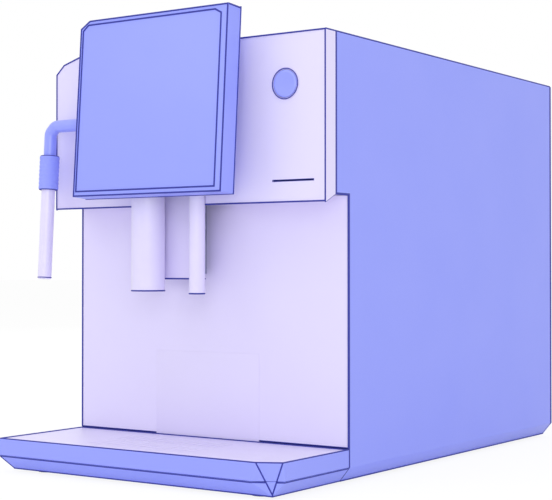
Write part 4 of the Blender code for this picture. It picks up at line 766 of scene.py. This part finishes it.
# %% Lip seal, rubbing strip and facet cords
tray = corners_of("drip_tray")
rim_points = tray[np.abs(tray[:, 2] - TRAY_TOP) < NEAR]
on_front = rim_points[np.abs(rim_points[:, 1] - TRAY_FRONT) < NEAR]
on_side = rim_points[np.abs(rim_points[:, 0] - HALF) < NEAR]
facet_front, facet_side = on_front[on_front[:, 0].argmax()], on_side[on_side[:, 1].argmin()]
plinth = corners_of("base_pan")
sole = plinth[np.abs(plinth[:, 2] - PLINTH_LOW[2]) < NEAR]
sole_front = sole[:, 1].min()
facet_foot = sole[np.abs(sole[:, 1] - sole_front) < 1.5 * MM]
facet_foot = facet_foot[facet_foot[:, 0].argmax()]
tray_back = TRAY_HIGH[1] if TRAY_HIGH[1] < NICHE_WALL else NICHE_WALL - GAP
rim_line = [
    (-HALF, tray_back), (-HALF, TRAY_FRONT), tuple(facet_front[:2]), tuple(facet_side[:2]), (HALF, tray_back)
]
rim_path = inset(rim_line, BEAD)
bead("tray_lip_seal", np.column_stack([rim_path, np.full(len(rim_path), TRAY_TOP)]), "tray", closed=True)


def facet_edge(start, end, towards, shift, depth):
    """An edge of the facet moved along the facet towards its middle and back into the tray."""
    start, end, towards = (np.array(p, float) for p in (start, end, towards))
    along = (end - start) / np.linalg.norm(end - start)
    across = towards - start
    across -= (across @ along) * along
    across /= np.linalg.norm(across)
    inward = np.cross(along, across)
    inward = inward if inward @ np.array([-1.0, 1.0, 0.0]) > 0 else -inward
    return np.stack([start, end]) + across * shift + inward * depth


def at_height(edge, height):
    """The point of an edge at a height: start + t * (end - start)."""
    share = (height - edge[0, 2]) / (edge[1, 2] - edge[0, 2])
    return edge[0] + share * (edge[1] - edge[0])


V_SHIFT, V_DEPTH = 0.7 * MM, 0.45 * MM  # how far the V's cords lie in from the facet's edges and into it
strip_line = BAND - 0.75 * MM
strip_end = {}
for word, top_corner, other in (("front", facet_front, facet_side), ("side", facet_side, facet_front)):
    edge = facet_edge(top_corner, facet_foot, other, V_SHIFT, V_DEPTH)
    normal = np.cross(edge[1] - edge[0], other - top_corner)
    normal = normal if normal[1] < 0 else -normal
    normal /= np.linalg.norm(normal)
    upper = [at_height(edge, TRAY_TOP - GAP), at_height(edge, BAND + GAP)]
    bead(f"tray_facet_{word}_cord", upper, "tray", up=normal)
    bead(f"plinth_facet_{word}_cord", [at_height(edge, BAND), edge[1]], "frame", up=normal)
    strip_end[word] = tuple(at_height(edge, strip_line)[:2])

band_rim = tray[np.abs(tray[:, 2] - BAND) < 0.5 * MM]
corner_x = band_rim[np.abs(band_rim[:, 1] - TRAY_FRONT) < NEAR][:, 0].max()
corner_y = band_rim[np.abs(band_rim[:, 0] - HALF) < NEAR][:, 1].min()
strip_back, strip_front = NICHE_WALL - 0.5 * MM, TRAY_FRONT + BEAD
front_line = [(-RIM, strip_back), (-RIM, strip_front), (corner_x, strip_front), strip_end["front"]]
side_line = [strip_end["side"], (RIM, corner_y + 0.4 * MM), (RIM, strip_back)]
for word, line in (("front", front_line), ("side", side_line)):
    bead(f"plinth_{word}_strip", [(x, y, strip_line) for x, y in line], "frame")
sole_line = [
    (-FOOT_EDGE, strip_back), (-FOOT_EDGE, sole_front), (facet_foot[0], sole_front),
    (FOOT_EDGE, facet_foot[1] + 0.5 * MM), (FOOT_EDGE, strip_back),
]
left_corner = [(-RIM, strip_front, strip_line), (-FOOT_EDGE, sole_front + 0.2 * MM, PLINTH_LOW[2] + GAP)]
bead("plinth_left_corner_cord", left_corner, "frame")
DOOR_MARGIN = 1.5 * MM  # how far the wall's foot seal stops short of the bin on each side
door_left, door_right = box("grounds_bin")[0][0] - DOOR_MARGIN, box("grounds_bin")[1][0] + DOOR_MARGIN
for word, start, end in (("left", -HALF + 2 * BEAD, door_left), ("right", door_right, HALF - 2 * BEAD)):
    seal_line = [(x, NICHE_WALL + 0.75 * MM, NICHE_LOW[2] + 0.1 * MM) for x in (start, end)]
    bead(f"niche_foot_seal_{word}", seal_line, "frame")
bead("plinth_sole_trim", [(x, y, PLINTH_LOW[2] + 0.2 * MM) for x, y in sole_line], "frame")
print("facet from", in_mm(facet_front), "and", in_mm(facet_side), "to", in_mm(facet_foot))

# %% [markdown]
# ## Button and card slot
#
# The button's cap is turned from acetal: a shallow dish for the fingertip inside a rounded rim, so its
# profile is a line of radii and heights carried round the axis. A silicone ring lies on the bezel round it
# and keeps water out. The card slot's mouth has a thin soft lip on all four sides, which guides the card.

# %% Button cap, its ring and the slot's lip
def lip_of(radius, height, width, sides=12):
    """A cord's round section: (radius + width * cos t, height + width * sin t), closed on itself."""
    t = np.linspace(0, 2 * math.pi, sides + 1)
    return np.stack([radius + width * np.cos(t), height + width * np.sin(t)], axis=1)


def ring_seal(name, radius, height, centre, axis, body, width=BEAD):
    """A silicone ring: a round section carried round an axis."""
    return turned(name, lip_of(radius, height, width), centre, axis, SEAL, body)


cap_low, cap_high = box("start_button")
bezel_low, bezel_high = box("button_bezel")
button_middle = (cap_low + cap_high) / 2
button_middle[1] = cap_low[1]
cap_radius = (cap_high[0] - cap_low[0]) / 2
stem_depth = cap_high[1] - cap_low[1]
TOWARDS_USER = (0, -1, 0)
STEM_RADIUS, SKIRT = 4 * MM, 7.2 * MM
dish = [(0.30, 0.8), (0.55, 0.55), (0.74, 0.2), (0.84, 0), (0.91, 0.15), (0.97, 0.7), (1, 1.7)]
cap_profile = [(0, -0.9 * MM), *((share * cap_radius, -depth * MM) for share, depth in dish)]
cap_profile += [(cap_radius, -SKIRT), (STEM_RADIUS, -SKIRT), (STEM_RADIUS, -stem_depth), (0, -stem_depth)]
button_cap = turned(
    "button_cap", cap_profile, button_middle, TOWARDS_USER, BUTTON_CAP, "button", steps=96
)
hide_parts("start_button")
bezel_front = (button_middle[0], bezel_low[1], button_middle[2])
bezel_radius = (bezel_high[0] - bezel_low[0]) / 2
ring_seal("button_ring", bezel_radius - BEAD, SKIN, bezel_front, TOWARDS_USER, "frame", 0.65 * MM)

reader_low, reader_high = box("card_reader")
slot_height = (reader_low[2] + reader_high[2]) / 2
head_points = corners_of("head_shell")
on_face = np.abs(head_points[:, 1] - HEAD_FRONT) < 2 * NEAR
mouth = head_points[on_face & (np.abs(head_points[:, 2] - slot_height) < 1.6 * MM)]
mouth = mouth[(mouth[:, 0] > reader_low[0]) & (mouth[:, 0] < reader_high[0])]
slot_left, slot_right = mouth[:, 0].min(), mouth[:, 0].max()
slot_half = (mouth[:, 2].max() - mouth[:, 2].min()) / 2
slot_foot, slot_top = slot_height - slot_half, slot_height + slot_half
lip = 0.35 * MM
slot_corners = inset(
    [(slot_left, slot_foot), (slot_right, slot_foot), (slot_right, slot_top), (slot_left, slot_top)], lip
)
bead("card_slot_lip", at_depth(slot_corners, HEAD_FRONT), "frame", closed=True, up=(0, -1, 0), radius=lip)
print("button radius", in_mm(cap_radius), "slot", in_mm([slot_left, slot_right, slot_half]), "mm")

# %% [markdown]
# ## Coffee and hot-water outlets
#
# Both outlets are tubes turned from bar and open below. A raw cut edge would drip, so the wall ends in a
# half-round lip, and a silicone ring sits in a groove just above it. The bore goes most of the way up,
# where the nozzles hang. The plate between them slides with them; its lower edge carries a cord too.

# %% Outlet tubes with rolled lips
def outlet_tube(name, node, body, wall):
    """An open tube: a bevelled shoulder above, a half-round lip below, and a bore that ends under the top.

    The lip is (radius - wall / 2 + wall / 2 * cos t, wall / 2 - wall / 2 * sin t) over half a turn.
    """
    low, high = box(node)
    radius, length = (high[0] - low[0]) / 2, high[2] - low[2]
    t = np.linspace(0, math.pi, 7)
    lip = np.stack([radius - wall / 2 + wall / 2 * np.cos(t), wall / 2 - wall / 2 * np.sin(t)], axis=1)
    above = [(0, length), (radius - MM, length), (radius, length - MM)]
    inside = [(radius - wall, length - 4 * MM), (radius - 1.6 * wall, length - 3 * MM), (0, length - 3 * MM)]
    place = ((low[0] + high[0]) / 2, (low[1] + high[1]) / 2, low[2])
    piece = turned(name, [*above, *lip, *inside], place, (0, 0, 1), OUTLET_STEEL, body, steps=96)
    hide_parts(node)
    ring_seal(f"{name}_ring", radius - 0.45 * MM, 0.5 * MM, place, (0, 0, 1), body)
    return radius


OUTLET_WALL = 1.5 * MM
coffee_radius = outlet_tube("coffee_spout", "coffee_outlet", "outlets", OUTLET_WALL)
water_radius = outlet_tube("water_spout", "hot_water_outlet", "outlets", OUTLET_WALL)
plate_points = corners_of("outlet_carriage")
plate_low = plate_points[:, 2].min()
foot_line = plate_points[np.abs(plate_points[:, 2] - plate_low) < NEAR][:, :2]
(left, front), (right, back) = foot_line.min(axis=0), foot_line.max(axis=0)
plate_foot = inset([(left, front), (right, front), (right, back), (left, back)], GAP)
foot_path = np.column_stack([plate_foot, np.full(len(plate_foot), plate_low + 0.4 * MM)])
bead("plate_foot_cord", foot_path, "outlets", closed=True)
print("outlet radii", in_mm([coffee_radius, water_radius]), "mm; plate foot", in_mm([right, back]), "mm")

# %% [markdown]
# ## Steam wand
#
# The wand leans forward on its way down, so it gets its own axis: from the pivot to the middle of the
# nozzle, both taken from the frame. The arm is bent tube, a circle swept along a path with two rounded
# bends. The grip is moulded over the arm in soft elastomer with shallow finger grooves: its radius dips as
# a squared sine. The tube below ends in a rounded tip with a countersunk nozzle.

# %% Wand arm, grip, tube and tip
nozzle_middle = np.mean(box("wand_nozzle"), axis=0)
WAND_PIVOT = np.array([nozzle_middle[0], *JOINTS["wand_swing"]["pos_m"][1:]])
wand_up = WAND_PIVOT - nozzle_middle
wand_up /= np.linalg.norm(wand_up)
wand_back = np.cross(wand_up, (1, 0, 0))


def along_wand(node):
    """Lowest and highest distance of a piece along the wand's own axis, from the pivot."""
    reach = (corners_of(node) - WAND_PIVOT) @ wand_up
    return reach.min(), reach.max()


def rounded_corner(before, corner, after, radius, steps=6):
    """A bend: (1 - t)^2 a + 2t(1 - t) corner + t^2 b, with a and b a radius before and after the corner."""
    before, corner, after = (np.array(p, float) for p in (before, corner, after))
    a = corner + radius * (before - corner) / np.linalg.norm(before - corner)
    b = corner + radius * (after - corner) / np.linalg.norm(after - corner)
    t = np.linspace(0, 1, steps)[:, None]
    return (1 - t) ** 2 * a + 2 * t * (1 - t) * corner + t**2 * b


arm_low, arm_high = box("wand_arm")
grip_bottom, grip_top = along_wand("wand_grip")
tube_bottom, tube_top = along_wand("wand_tube")
arm_bottom = along_wand("wand_arm")[0]
arm_radius = WAND_PIVOT[0] - arm_low[0]
grip_radius = WAND_PIVOT[0] - box("wand_grip")[0][0]
tube_radius = WAND_PIVOT[0] - box("wand_tube")[0][0]
bend, bend_radius = 8.0 * MM, 3 * MM  # where each of the elbow's two bends lies from the pivot, and its reach
corners = [
    WAND_PIVOT + (arm_high[0] - WAND_PIVOT[0]) * np.array([1.0, 0, 0]), WAND_PIVOT + (bend, 0, 0),
    WAND_PIVOT - bend * wand_up, WAND_PIVOT + arm_bottom * wand_up,
]
bends = [rounded_corner(*corners[i : i + 3], bend_radius) for i in (0, 1)]
arm_path = np.concatenate([corners[:1], *bends, corners[3:]])
wand_arm = swept("bent_arm", arm_path, circle(arm_radius, 40), ARM_STEEL, "wand", up=wand_back)
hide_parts("wand_arm")

GROOVES, GROOVE_DEPTH = 7, 0.35 * MM
socket, bore, sleeve = tube_top + GAP, arm_radius + GAP, tube_radius + GAP
groove = np.linspace(grip_bottom + 2.5 * MM, grip_top - 2.5 * MM, 61)
dip = GROOVE_DEPTH * np.sin(math.pi * GROOVES * (groove - groove[0]) / (groove[-1] - groove[0])) ** 2
rim = np.array([(-1.2, 0.0), (-0.3, 0.4), (0.0, 1.3)]) * MM  # (radius, height) of the grip's rounded end
grip_profile = np.concatenate([
    [(bore, socket), (sleeve, socket - GAP), (sleeve, grip_bottom)], (grip_radius, grip_bottom) + rim,
    np.stack([grip_radius - dip, groove], axis=1), (grip_radius, grip_top) + (rim * (1, -1))[::-1],
    [(bore, grip_top), (bore, socket)],
])
grip = turned("soft_grip", grip_profile, WAND_PIVOT, wand_up, GRIP, "wand", steps=64)
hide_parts("wand_grip")

tip, counterbore, counter_depth, tube_bore = 1.6 * MM, 5.5 * MM, 6 * MM, 3 * MM
t = np.linspace(0, math.pi / 2, 6)
round_tip = np.stack([tube_radius - tip + tip * np.cos(t), tube_bottom + tip - tip * np.sin(t)], axis=1)
nozzle_seat = tube_bottom + counter_depth
inside = [(counterbore, tube_bottom + SKIN), (counterbore, nozzle_seat), (tube_bore, nozzle_seat)]
tube_profile = [(tube_bore, tube_top), (tube_radius, tube_top), *round_tip, *inside, (tube_bore, tube_top)]
steam_tube = turned(
    "steam_tube", tube_profile, WAND_PIVOT, wand_up, OUTLET_STEEL, "wand", steps=64
)
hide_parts("wand_tube")
WAND_BEAD = 0.8 * MM
grip_ring = grip_radius - 1.4 * MM
for name, height, radius in (
    ("grip_top_ring", grip_top, grip_ring), ("grip_foot_ring", grip_bottom, grip_ring),
    ("tube_tip_ring", tube_bottom + 1.9 * MM, tube_radius - 0.5 * MM),
):
    ring_seal(name, radius, height, WAND_PIVOT, wand_up, "wand", WAND_BEAD)
boss_face = box("wand_boss")[0][0] - WAND_PIVOT[0] - 0.7 * MM
ring_seal("arm_root_ring", arm_radius + 0.5 * MM, boss_face, WAND_PIVOT, (1, 0, 0), "frame", WAND_BEAD)
print("mm from the pivot: grip", in_mm([grip_bottom, grip_top]), "tube", in_mm([tube_bottom, tube_top]))

# %% [markdown]
# ## Cup rest and bin door
#
# The cup rest is a flat moulding with two rows of drain slots, and a corner cut off where the tray has its
# facet. It is a sheet of cells: lines along x and y that stop at every slot's edge. Cells over a slot are
# left out, and the corner cell becomes a triangle. Solidify gives the sheet its thickness and Bevel rounds
# the rims, which is much lighter than cutting slots out of a block. A strainer lies under the slots, so
# that no crumb falls through.

# %% Cup rest with drain slots
def slots_of(node, height):
    """The edges of a plate's slots along x and along y: its points at a height that lie off the outer rim."""
    points = corners_of(node)
    low, high = box(node)
    level = points[np.abs(points[:, 2] - height) < NEAR][:, :2]
    rim = FACET_REACH + MM
    off_rim = (level > low[:2] + rim) & (level < high[:2] - rim)
    inner = level[off_rim.all(axis=1)]
    return np.unique(np.round(inner[:, 0], 5)), np.unique(np.round(inner[:, 1], 5))


FACET_REACH = max(HALF - facet_front[0], facet_side[1] - TRAY_FRONT)
grid_low, grid_high = box("drip_grid")
slot_x, slot_y = slots_of("drip_grid", grid_high[2])
grid_top = corners_of("drip_grid")
grid_top = grid_top[np.abs(grid_top[:, 2] - grid_high[2]) < NEAR][:, :2]
cut_x = grid_top[np.abs(grid_top[:, 1] - grid_low[1]) < NEAR][:, 0].max()
cut_y = grid_top[np.abs(grid_top[:, 0] - grid_high[0]) < NEAR][:, 1].min()
lines_x = np.unique(np.concatenate([[grid_low[0], cut_x, grid_high[0]], slot_x]))
lines_y = np.unique(np.concatenate([[grid_low[1], cut_y, grid_high[1]], slot_y]))
across, deep = np.meshgrid(lines_x, lines_y, indexing="ij")
sheet = np.stack([across, deep, np.full(across.shape, grid_high[2])], axis=-1)
middle_x, middle_y = (lines_x[1:] + lines_x[:-1]) / 2, (lines_y[1:] + lines_y[:-1]) / 2
over_x = (np.searchsorted(slot_x, middle_x) % 2) == 1
over_y = (np.searchsorted(slot_y, middle_y) % 2) == 1
corner_cell = (middle_x > cut_x)[:, None] & (middle_y < cut_y)[None, :]
solid = ~(over_x[:, None] & over_y[None, :]) & ~corner_cell
i, j = np.nonzero(solid)
columns = len(lines_y)
here = i * columns + j
cells = np.stack([here, here + columns, here + columns + 1, here + 1], axis=1).tolist()
at_x, at_y = np.nonzero(corner_cell)
here = at_x * columns + at_y
cells += np.stack([here, here + columns + 1, here + 1], axis=1).tolist()
cup_rest = put_piece("cup_rest", sheet, cells, TRAY_PLASTIC, "grid")
thick = cup_rest.modifiers.new("wall", "SOLIDIFY")
thick.thickness, thick.offset = grid_high[2] - grid_low[2], -1.0
rounded = cup_rest.modifiers.new("rounded_rim", "BEVEL")
rounded.width, rounded.segments = 0.45 * MM, 2
rounded.limit_method, rounded.angle_limit = "ANGLE", math.radians(40)
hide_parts("drip_grid")
print("slots", len(slot_x) // 2, "by", len(slot_y) // 2, "cut corner", in_mm([cut_x, cut_y]), "mm")

# %% [markdown]
# ### Strainer
#
# The strainer is a thin sheet pressed in ripples, which keep it stiff. Its height is a middle plus depth
# times sin(2 pi x / pitch), on a grid that reaches a little past the slots on every side.

# %% Strainer under the slots
PAST_SLOTS, RIPPLE_DEPTH, RIPPLE_PITCH = 4 * MM, 0.15 * MM, 2.4 * MM
ripple_x = np.linspace(slot_x[0] - PAST_SLOTS, slot_x[-1] + PAST_SLOTS, 241)
ripple_y = np.linspace(slot_y[0] - PAST_SLOTS, slot_y[-1] + PAST_SLOTS, 25)
across, deep = np.meshgrid(ripple_x, ripple_y, indexing="ij")
wave = grid_low[2] - 0.55 * MM + RIPPLE_DEPTH * np.sin(2 * math.pi * across / RIPPLE_PITCH)
rows, columns = across.shape
here = np.arange(rows - 1)[:, None] * columns + np.arange(columns - 1)[None, :]
quads = np.stack([here, here + columns, here + columns + 1, here + 1], axis=-1).reshape(-1, 4)
strainer = put_piece(
    "drain_strainer", np.stack([across, deep, wave], axis=-1), quads.tolist(), TRAY_PLASTIC, "grid"
)
wall = strainer.modifiers.new("wall", "SOLIDIFY")
wall.thickness, wall.offset = 0.4 * MM, -1.0
print("strainer ripples", round((ripple_x[-1] - ripple_x[0]) / RIPPLE_PITCH))

# %% [markdown]
# ### Bin door
#
# The grounds bin comes out with the tray through an opening in the niche wall. Its door is a thin moulded
# face, a millimetre larger than the opening all round, so that it hides the gap and lies almost flush with
# the wall.

# %% Bin door face
bin_low, bin_high = box("grounds_bin")
lap, door_thick = 1.2 * MM, 0.35 * MM
door_foot, door_top = TRAY_TOP + 0.6 * MM, bin_high[2] + lap
door_left, door_right = bin_low[0] - lap, bin_high[0] + lap
door_outline = [
    (door_left, door_foot), (door_right, door_foot), (door_right, door_top), (door_left, door_top)
]
door_face = NICHE_WALL - door_thick - SKIN
plate(
    "bin_door_face", door_outline, lambda flat, depth: at_depth(flat, door_face + depth), door_thick,
    0.25 * MM, NICHE_PLASTIC, "tray", steps=3,
)
print("bin door", in_mm(np.ptp(door_outline, axis=0)), "mm")

# %% [markdown]
# ## Lid, cover and screen back
#
# Beans go in under the lid, so it needs a soft gasket that keeps them dry and a bar to lift it by. The
# cover is held by pan-head screws along its rear edge, and the screen's back by four small ones with ribs
# between them that stiffen the casting and shed its heat. A rib is a half-round swept across; its ends are
# set in from the edge.

# %% Gasket, lift bar, screws and ribs
lid_low, lid_high = box("hopper_lid")
lid_points = corners_of("hopper_lid")
lid_back = lid_points[np.abs(lid_points[:, 2] - lid_high[2]) < 0.5 * MM][:, 1].max()
(left, front), right = lid_low[:2], lid_high[0]
lid_outline = inset([(left, front), (right, front), (right, lid_back), (left, lid_back)], 0.4 * MM)
bead("lid_gasket", np.column_stack([lid_outline, np.full(4, lid_low[2] + BEAD)]), "lid", closed=True)


def stadium(left, right, middle, half, steps=9):
    """Outline of a bar with round ends: a half circle of radius half about each end, anticlockwise."""
    t = np.linspace(-math.pi / 2, math.pi / 2, steps)
    east = np.stack([right - half + half * np.cos(t), middle + half * np.sin(t)], axis=1)
    west = np.stack([left + half - half * np.cos(t), middle - half * np.sin(t)], axis=1)
    return np.concatenate([east, west])


def level_at(height):
    """A lift for plates that lie flat: (x, y) with depth running down from a height."""
    return lambda flat, depth: np.column_stack([flat[:, 0], flat[:, 1], np.full(len(flat), height - depth)])


BAR_REACH, BAR_HALF, BAR_SETBACK, BAR_RISE = 32 * MM, 5 * MM, 12 * MM, 3.2 * MM
bar_middle = (left + right) / 2
bar = stadium(bar_middle - BAR_REACH, bar_middle + BAR_REACH, front + BAR_SETBACK, BAR_HALF)
bar_top = level_at(lid_high[2] + BAR_RISE)
plate("lid_lift_bar", bar, bar_top, BAR_RISE + 2 * SKIN, 1.4 * MM, BUTTON_CAP, "lid")
COVER_SCREW_LINE = SIDE_HIGH[1] - 14 * MM
for word, x in (("left", -0.13), ("middle", 0.0), ("right", 0.17)):
    screw(f"cover_screw_{word}", (x, COVER_SCREW_LINE, TOP + 0.05 * MM), (0, 0, 1), 4 * MM, "frame")
print("lid", in_mm(lid_high - lid_low), "mm")

# %% Screws and ribs on the screen's back
SCREW_INSET, RIB_INSET = 9 * MM, 22 * MM
cover_low, cover_high = screen_span("display_rear_cover")
left, right, foot, crown = cover_low[0], cover_high[0], cover_low[2], cover_high[2]
columns = (left + SCREW_INSET, right - SCREW_INSET)
screw_places = [(x, up) for up in (crown - 22 * MM, foot + SCREW_INSET) for x in columns]
for number, flat in enumerate(screw_places, 1):
    screw(f"screen_screw_{number}", on_screen(flat, case_back)[0], -facing, 2.6 * MM, "display")
half_round = circle(1.3 * MM, 12, 0.8)
for number, up in enumerate(np.linspace(crown - 12 * MM, crown - 36 * MM, 4), 1):
    ends = on_screen([(left + RIB_INSET, up), (right - RIB_INSET, up)], case_back + 0.2 * MM)
    swept(f"screen_rib_{number}", ends, half_round, SCREEN_PAINT, "display", up=SCREEN_UP)
print("screen back", in_mm([right - left, crown - foot]), "mm")

# %% [markdown]
# ## Rear panel
#
# Nothing stands out of the rear panel, because the machine is pushed against a wall. Behind the fan's
# opening lies a guard of three wire rings, welded where the spokes cross them. Behind each vent slot hangs
# a tilted blade that sheds drips and hides the inside. The power inlet has its three flat pins, and the
# water inlet its strainer.

# %% Fan guard, vent blades, pins and strainer
GUARD_WIRE = 0.8 * MM  # radius
BLADE_HALF, BLADE_TILT = (4.6 * MM, 0.5 * MM), math.radians(38)
fan_low, fan_high = box("fan_frame")
fan_middle = (fan_low + fan_high) / 2
fan_middle[1] = REAR_INSIDE + MM
fan_reach = (fan_high[0] - fan_low[0]) / 2
for number, share in enumerate((0.52, 0.68, 0.84), 1):
    wire = lip_of(share * fan_reach, 0.0, GUARD_WIRE)
    turned(f"fan_guard_ring_{number}", wire, fan_middle, (0, 1, 0), PIN_STEEL, "frame")

rear = corners_of("rear_panel")
across, up = rear[:, 0], rear[:, 2]
inside = rear[(across > 10 * MM) & (across < HALF - 10 * MM) & (up > 100 * MM) & (up < 400 * MM)]
vent_left, vent_right = inside[:, 0].min(), inside[:, 0].max()
vent_edges = np.unique(np.round(inside[:, 2], 5))
vent_rows = (vent_edges[::2] + vent_edges[1::2]) / 2
blade = np.array([[-1, -1], [1, -1], [1, 1], [-1, 1]]) * BLADE_HALF
cosine, sine = math.cos(BLADE_TILT), math.sin(BLADE_TILT)
blade_ring = blade @ np.array([[cosine, sine], [-sine, cosine]])
for number, z in enumerate(vent_rows, 1):
    ends = [(x, REAR_INSIDE - 5 * MM, z + 1.5 * MM) for x in (vent_left - 3 * MM, vent_right + 3 * MM)]
    swept(f"vent_blade_{number}", ends, blade_ring, REAR_PAINT, "frame")
print("vent blades", len(vent_rows))

# %% [markdown]
# ### Inlets
#
# The pins are flat bars with rounded edges that stand on the floor of the plug's recess. The strainer is a
# disc of wire mesh, drawn as rings that differ by a third of a millimetre in height. The floor and the radius
# of the bore are read off the frame.

# %% Inlet pins and water strainer

inlet_low, inlet_high = box("power_inlet")
inlet_middle, inlet_half = (inlet_low[1] + inlet_high[1]) / 2, (inlet_high[1] - inlet_low[1]) / 2
recess = corners_of("power_inlet")
beside_rocker = recess[:, 0] > box("power_rocker")[1][0] + 4 * MM
within = (recess[:, 0] < inlet_high[0] - 2 * MM) & (np.abs(recess[:, 1] - inlet_middle) < inlet_half - 4 * MM)
recess = recess[beside_rocker & within]
socket_middle, socket_floor = (recess.min(axis=0) + recess.max(axis=0)) / 2, recess[:, 1].max()
PIN_LENGTH = 13 * MM
pin_outline = stadium(-MM, MM, 0.0, 0.95 * MM, 5) * np.array([1.0, 2.1])
pin_tip = socket_floor - MM + PIN_LENGTH
for word, x, up in (("live", -7 * MM, -1.5 * MM), ("earth", 0.0, 2.5 * MM), ("neutral", 7 * MM, -1.5 * MM)):
    pin = pin_outline + (socket_middle[0] + x, socket_middle[2] + up)
    plate(
        f"inlet_pin_{word}", pin, lambda flat, depth: at_depth(flat, pin_tip - depth), PIN_LENGTH, 0.4 * MM,
        PIN_STEEL, "frame", steps=4,
    )

valve_low, valve_high = box("water_inlet_valve")
valve_middle = (valve_low + valve_high) / 2
valve_middle[1] = valve_high[1]
valve = corners_of("water_inlet_valve")
spread = np.hypot(valve[:, 0] - valve_middle[0], valve[:, 2] - valve_middle[2])
bore_radius = spread[np.abs(valve[:, 1] - valve_high[1]) < 2 * NEAR].min()
mesh_rings = np.linspace(0, bore_radius - SKIN, 13)
strainer_height = np.where(np.arange(len(mesh_rings)) % 2 == 0, -2.0, -2.35) * MM
back = -3.2 * MM
strainer_profile = [*np.stack([mesh_rings, strainer_height], axis=1), (mesh_rings[-1], back), (0, back)]
turned("water_strainer", strainer_profile, valve_middle, (0, 1, 0), BRUSHED, "frame", steps=48)
print("socket floor", in_mm(socket_floor), "bore", in_mm(bore_radius), "mm")

# %% [markdown]
# ## The studio
#
# The machine stands on a plain pale floor in even light, as for a catalogue. A white world fills every
# shadow, and five large soft lamps give the planes slightly different values. The strongest is beside the
# camera, and the next are over the top and behind. The floor and the world turn plain white for the camera,
# and for what glass and gloss mirror, while the floor still takes the machine's shadow: its colour is mixed
# with white by a factor, so a shadow stays.

# %% Floor, world and lamps
def stage_plane(size, colour):
    """A square floor centred under the machine."""
    corners = np.array([[-1, -1, 0], [1, -1, 0], [1, 1, 0], [-1, 1, 0]]) * size / 2
    mesh = bpy.data.meshes.new("floor")
    mesh.from_pydata(corners.tolist(), [], [[0, 1, 2, 3]])
    floor = bpy.data.objects.new("floor", mesh)
    bpy.context.scene.collection.objects.link(floor)
    material = bpy.data.materials.new("matt_white_floor")
    material.use_nodes = True
    tree = material.node_tree
    shader = tree.nodes["Principled BSDF"]
    shader.inputs["Base Color"].default_value = linear(colour)
    shader.inputs["Roughness"].default_value = 0.9
    shader.inputs["Specular IOR Level"].default_value = 0.0
    white = add_node(tree, "ShaderNodeEmission", {"Color": (1, 1, 1, 1), "Strength": 1.03})
    rays = add_node(tree, "ShaderNodeLightPath")
    seen = add_node(
        tree, "ShaderNodeMath", {"operation": "MAXIMUM"},
        {0: rays.outputs["Is Camera Ray"], 1: rays.outputs["Is Glossy Ray"]},
    )
    share = add_node(tree, "ShaderNodeMath", {"operation": "MULTIPLY", 1: 0.86}, {0: seen.outputs[0]})
    mix = add_node(
        tree, "ShaderNodeMixShader", {}, {0: share.outputs[0], 1: shader.outputs[0], 2: white.outputs[0]}
    )
    tree.links.new(mix.outputs[0], tree.nodes["Material Output"].inputs["Surface"])
    mesh.materials.append(material)
    floor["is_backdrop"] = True


stage_plane(40.0, "FFFFFF")
world = bpy.data.worlds.new("studio")
bpy.context.scene.world = world
world.use_nodes = True
background = world.node_tree.nodes["Background"]
rays = add_node(world.node_tree, "ShaderNodeLightPath")
seen = add_node(
    world.node_tree, "ShaderNodeMath", {"operation": "MAXIMUM"},
    {0: rays.outputs["Is Camera Ray"], 1: rays.outputs["Is Glossy Ray"]},
)
clear = add_node(
    world.node_tree, "ShaderNodeMath", {"operation": "MAXIMUM"},
    {0: seen.outputs[0], 1: rays.outputs["Is Transmission Ray"]},
)
level = add_node(
    world.node_tree, "ShaderNodeMapRange", {"To Min": 0.68, "To Max": 1.0}, {"Value": clear.outputs[0]}
)
world.node_tree.links.new(level.outputs["Result"], background.inputs["Strength"])
background.inputs["Color"].default_value = (1, 1, 1, 1)


def soft_lamp(name, place, aim, size, power):
    """A square area lamp that looks from its place to a point."""
    data = bpy.data.lights.new(name, "AREA")
    data.shape, data.size, data.energy = "SQUARE", size, power
    lamp = bpy.data.objects.new(name, data)
    lamp.location = place
    lamp.rotation_euler = (Vector(aim) - Vector(place)).to_track_quat("-Z", "Y").to_euler()
    bpy.context.scene.collection.objects.link(lamp)


MIDDLE = (0, 0, 0.25)
soft_lamp("beside_the_camera", (1.9, -2.9, 0.9), MIDDLE, 1.8, 25)
soft_lamp("front_left", (-1.6, -2.6, 2.0), MIDDLE, 1.8, 8)
soft_lamp("right_side", (2.8, 0.2, 1.4), MIDDLE, 1.8, 4)
soft_lamp("overhead", (-0.2, -0.6, 3.0), (0, -0.1, 0.1), 2.0, 17)
soft_lamp("behind", (-1.8, 2.6, 1.8), MIDDLE, 1.8, 14)

# %% [markdown]
# ## The camera
#
# The catalogue view looks from the front right at the height of the cup niche, with a short telephoto so
# that the upright edges stay upright. All its numbers are in metres and degrees about the machine's own
# centre.

# %% Camera
lens = bpy.data.cameras.new("catalogue_view")
lens.lens, lens.sensor_width = 91.8, 36.0
lens.clip_start, lens.clip_end = 0.05, 60
camera = bpy.data.objects.new("catalogue_view", lens)
camera.location = (1.0136, -1.5352, 0.240)
camera.rotation_euler = (math.radians(90.754), 0, math.radians(34.479))
bpy.context.scene.collection.objects.link(camera)
bpy.context.scene.camera = camera
bpy.context.scene.view_settings.view_transform = "Standard"
print("camera", round(lens.lens, 1), "mm")

# %% [markdown]
# ## Last look
#
# At the end, how far the visual model's upper corner lies past the frame's is printed, with the number of new
# pieces. The visual model must stay inside the box of the frame.

# %% How far the upper corner grew
visual_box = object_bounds()
grown = [round((b - a) / MM, 2) for a, b in zip(cad_box[1], visual_box[1])]
print("upper corner grew by", grown, "mm; pieces made", len(made))
